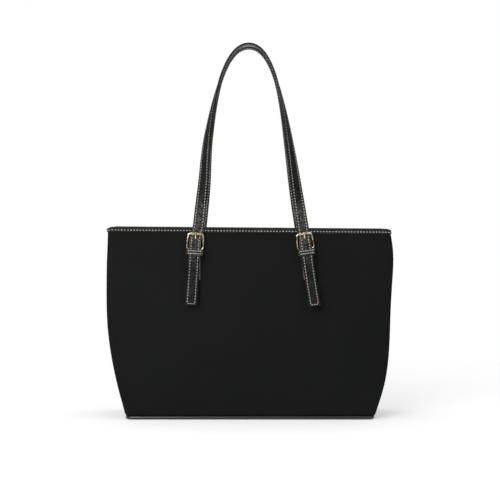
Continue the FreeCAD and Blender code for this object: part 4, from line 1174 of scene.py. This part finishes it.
def finish_cad_nodes():
    for name, node in frame["nodes"].items():
        kind = name.split("_")[-1]
        if kind in FINISHES:
            node.data.materials.clear()
            node.data.materials.append(FINISHES[kind])
            node.data.shade_smooth()
            node.data.set_sharp_from_angle(angle=math.radians(35))
        if kind in SOFTENED:
            soften(node, SOFTENED[kind])


# Floor, light and camera

FLOOR_REACH = 6.0
WHITE = (1, 1, 1, 1)

# Each lamp's place, size and power in watts
LAMPS = {
    "key": ((-1.1, -2.3, 1.3), 1.5, 40),
    "fill": ((1.7, -1.6, 0.9), 1.6, 2),
    "top": ((0, 0.4, 2.3), 1.8, 8),
}
LIT_POINT = (0, 0, 0.28)
EYE_DISTANCE, EYE_HEIGHT, SEEN_WIDTH = 1.78, 0.2597, 0.7735


def make_room():
    """A room that looks white, but lights the bag dimly from low down and more from overhead."""
    world = bpy.data.worlds.new("studio")
    world.use_nodes = True
    tree = world.node_tree
    seen = add(tree, "LightPath").outputs["Is Camera Ray"]
    towards = add(tree, "TexCoord").outputs["Generated"]
    rise = add(tree, "SeparateXYZ", Vector=towards).outputs["Z"]
    room = scaled(tree, rise, 0.05, 0.75, 0.12, 0.75)
    strength = add(tree, "Mix", {"data_type": "FLOAT"}, i0=seen, i2=room, i3=1.0).outputs[0]
    feed(tree, tree.nodes["Background"], Color=WHITE, Strength=strength)
    bpy.context.scene.world = world


def paper():
    """White paper that takes shadows near the bag and glows away from it."""
    made, tree, where = new_material("paper")
    distance = add(tree, "VectorMath", {"operation": "LENGTH"}, i0=where).outputs["Value"]
    away = scaled(tree, distance, 0.35, 1.1, 0.0, 1.0)
    colour = mixed(tree, away, (0.75, 0.75, 0.75, 1), (0, 0, 0, 1))
    shade(tree, Base_Color=colour, Roughness=1.0, Specular_IOR_Level=0.0)
    shade(tree, Emission_Color=WHITE, Emission_Strength=scaled(tree, away, 0.0, 1.0, 0.36, 1.0))
    return made


def make_floor():
    mesh = bpy.data.meshes.new("floor")
    corners = [(x * FLOOR_REACH, y * FLOOR_REACH, 0) for x, y in ((-1, -1), (1, -1), (1, 1), (-1, 1))]
    mesh.from_pydata(corners, [], [(0, 1, 2, 3)])
    mesh.materials.append(paper())
    floor = bpy.data.objects.new("floor", mesh)
    bpy.context.scene.collection.objects.link(floor)


def hang_lamps():
    for name, (spot, size, power) in LAMPS.items():
        data = bpy.data.lights.new(name, "AREA")
        data.size = size
        data.energy = power
        lamp = bpy.data.objects.new(name, data)
        lamp.location = spot
        lamp.rotation_mode = "QUATERNION"
        lamp.rotation_quaternion = (Vector(LIT_POINT) - lamp.location).to_track_quat("-Z", "Y")
        bpy.context.scene.collection.objects.link(lamp)


def set_camera():
    """A level view, square to the front, from a little below the rim."""
    data = bpy.data.cameras.new("camera")
    data.lens = data.sensor_width * EYE_DISTANCE / SEEN_WIDTH
    camera = bpy.data.objects.new("camera", data)
    camera.location = (0, -HALF_DEPTH(RIM_TOP) - EYE_DISTANCE, EYE_HEIGHT)
    camera.rotation_euler = (math.pi / 2, 0, 0)
    scene = bpy.context.scene
    scene.collection.objects.link(camera)
    scene.camera = camera
    scene.view_settings.view_transform = "Standard"


make_shell()
make_base()
make_piping()
make_rim()
sew_rim()
make_lining()
make_straps()
for buckle_end in ENDS:
    make_anchor_tab(buckle_end)
    make_keeper(buckle_end)
    sew_keeper(buckle_end)
make_flaps()
make_webs()
make_zip_end()
make_welt()
make_pocket_tapes()
make_slip_pocket()
make_zip_pocket_bag()
finish_cad_nodes()
make_room()
make_floor()
hang_lamps()
set_camera()
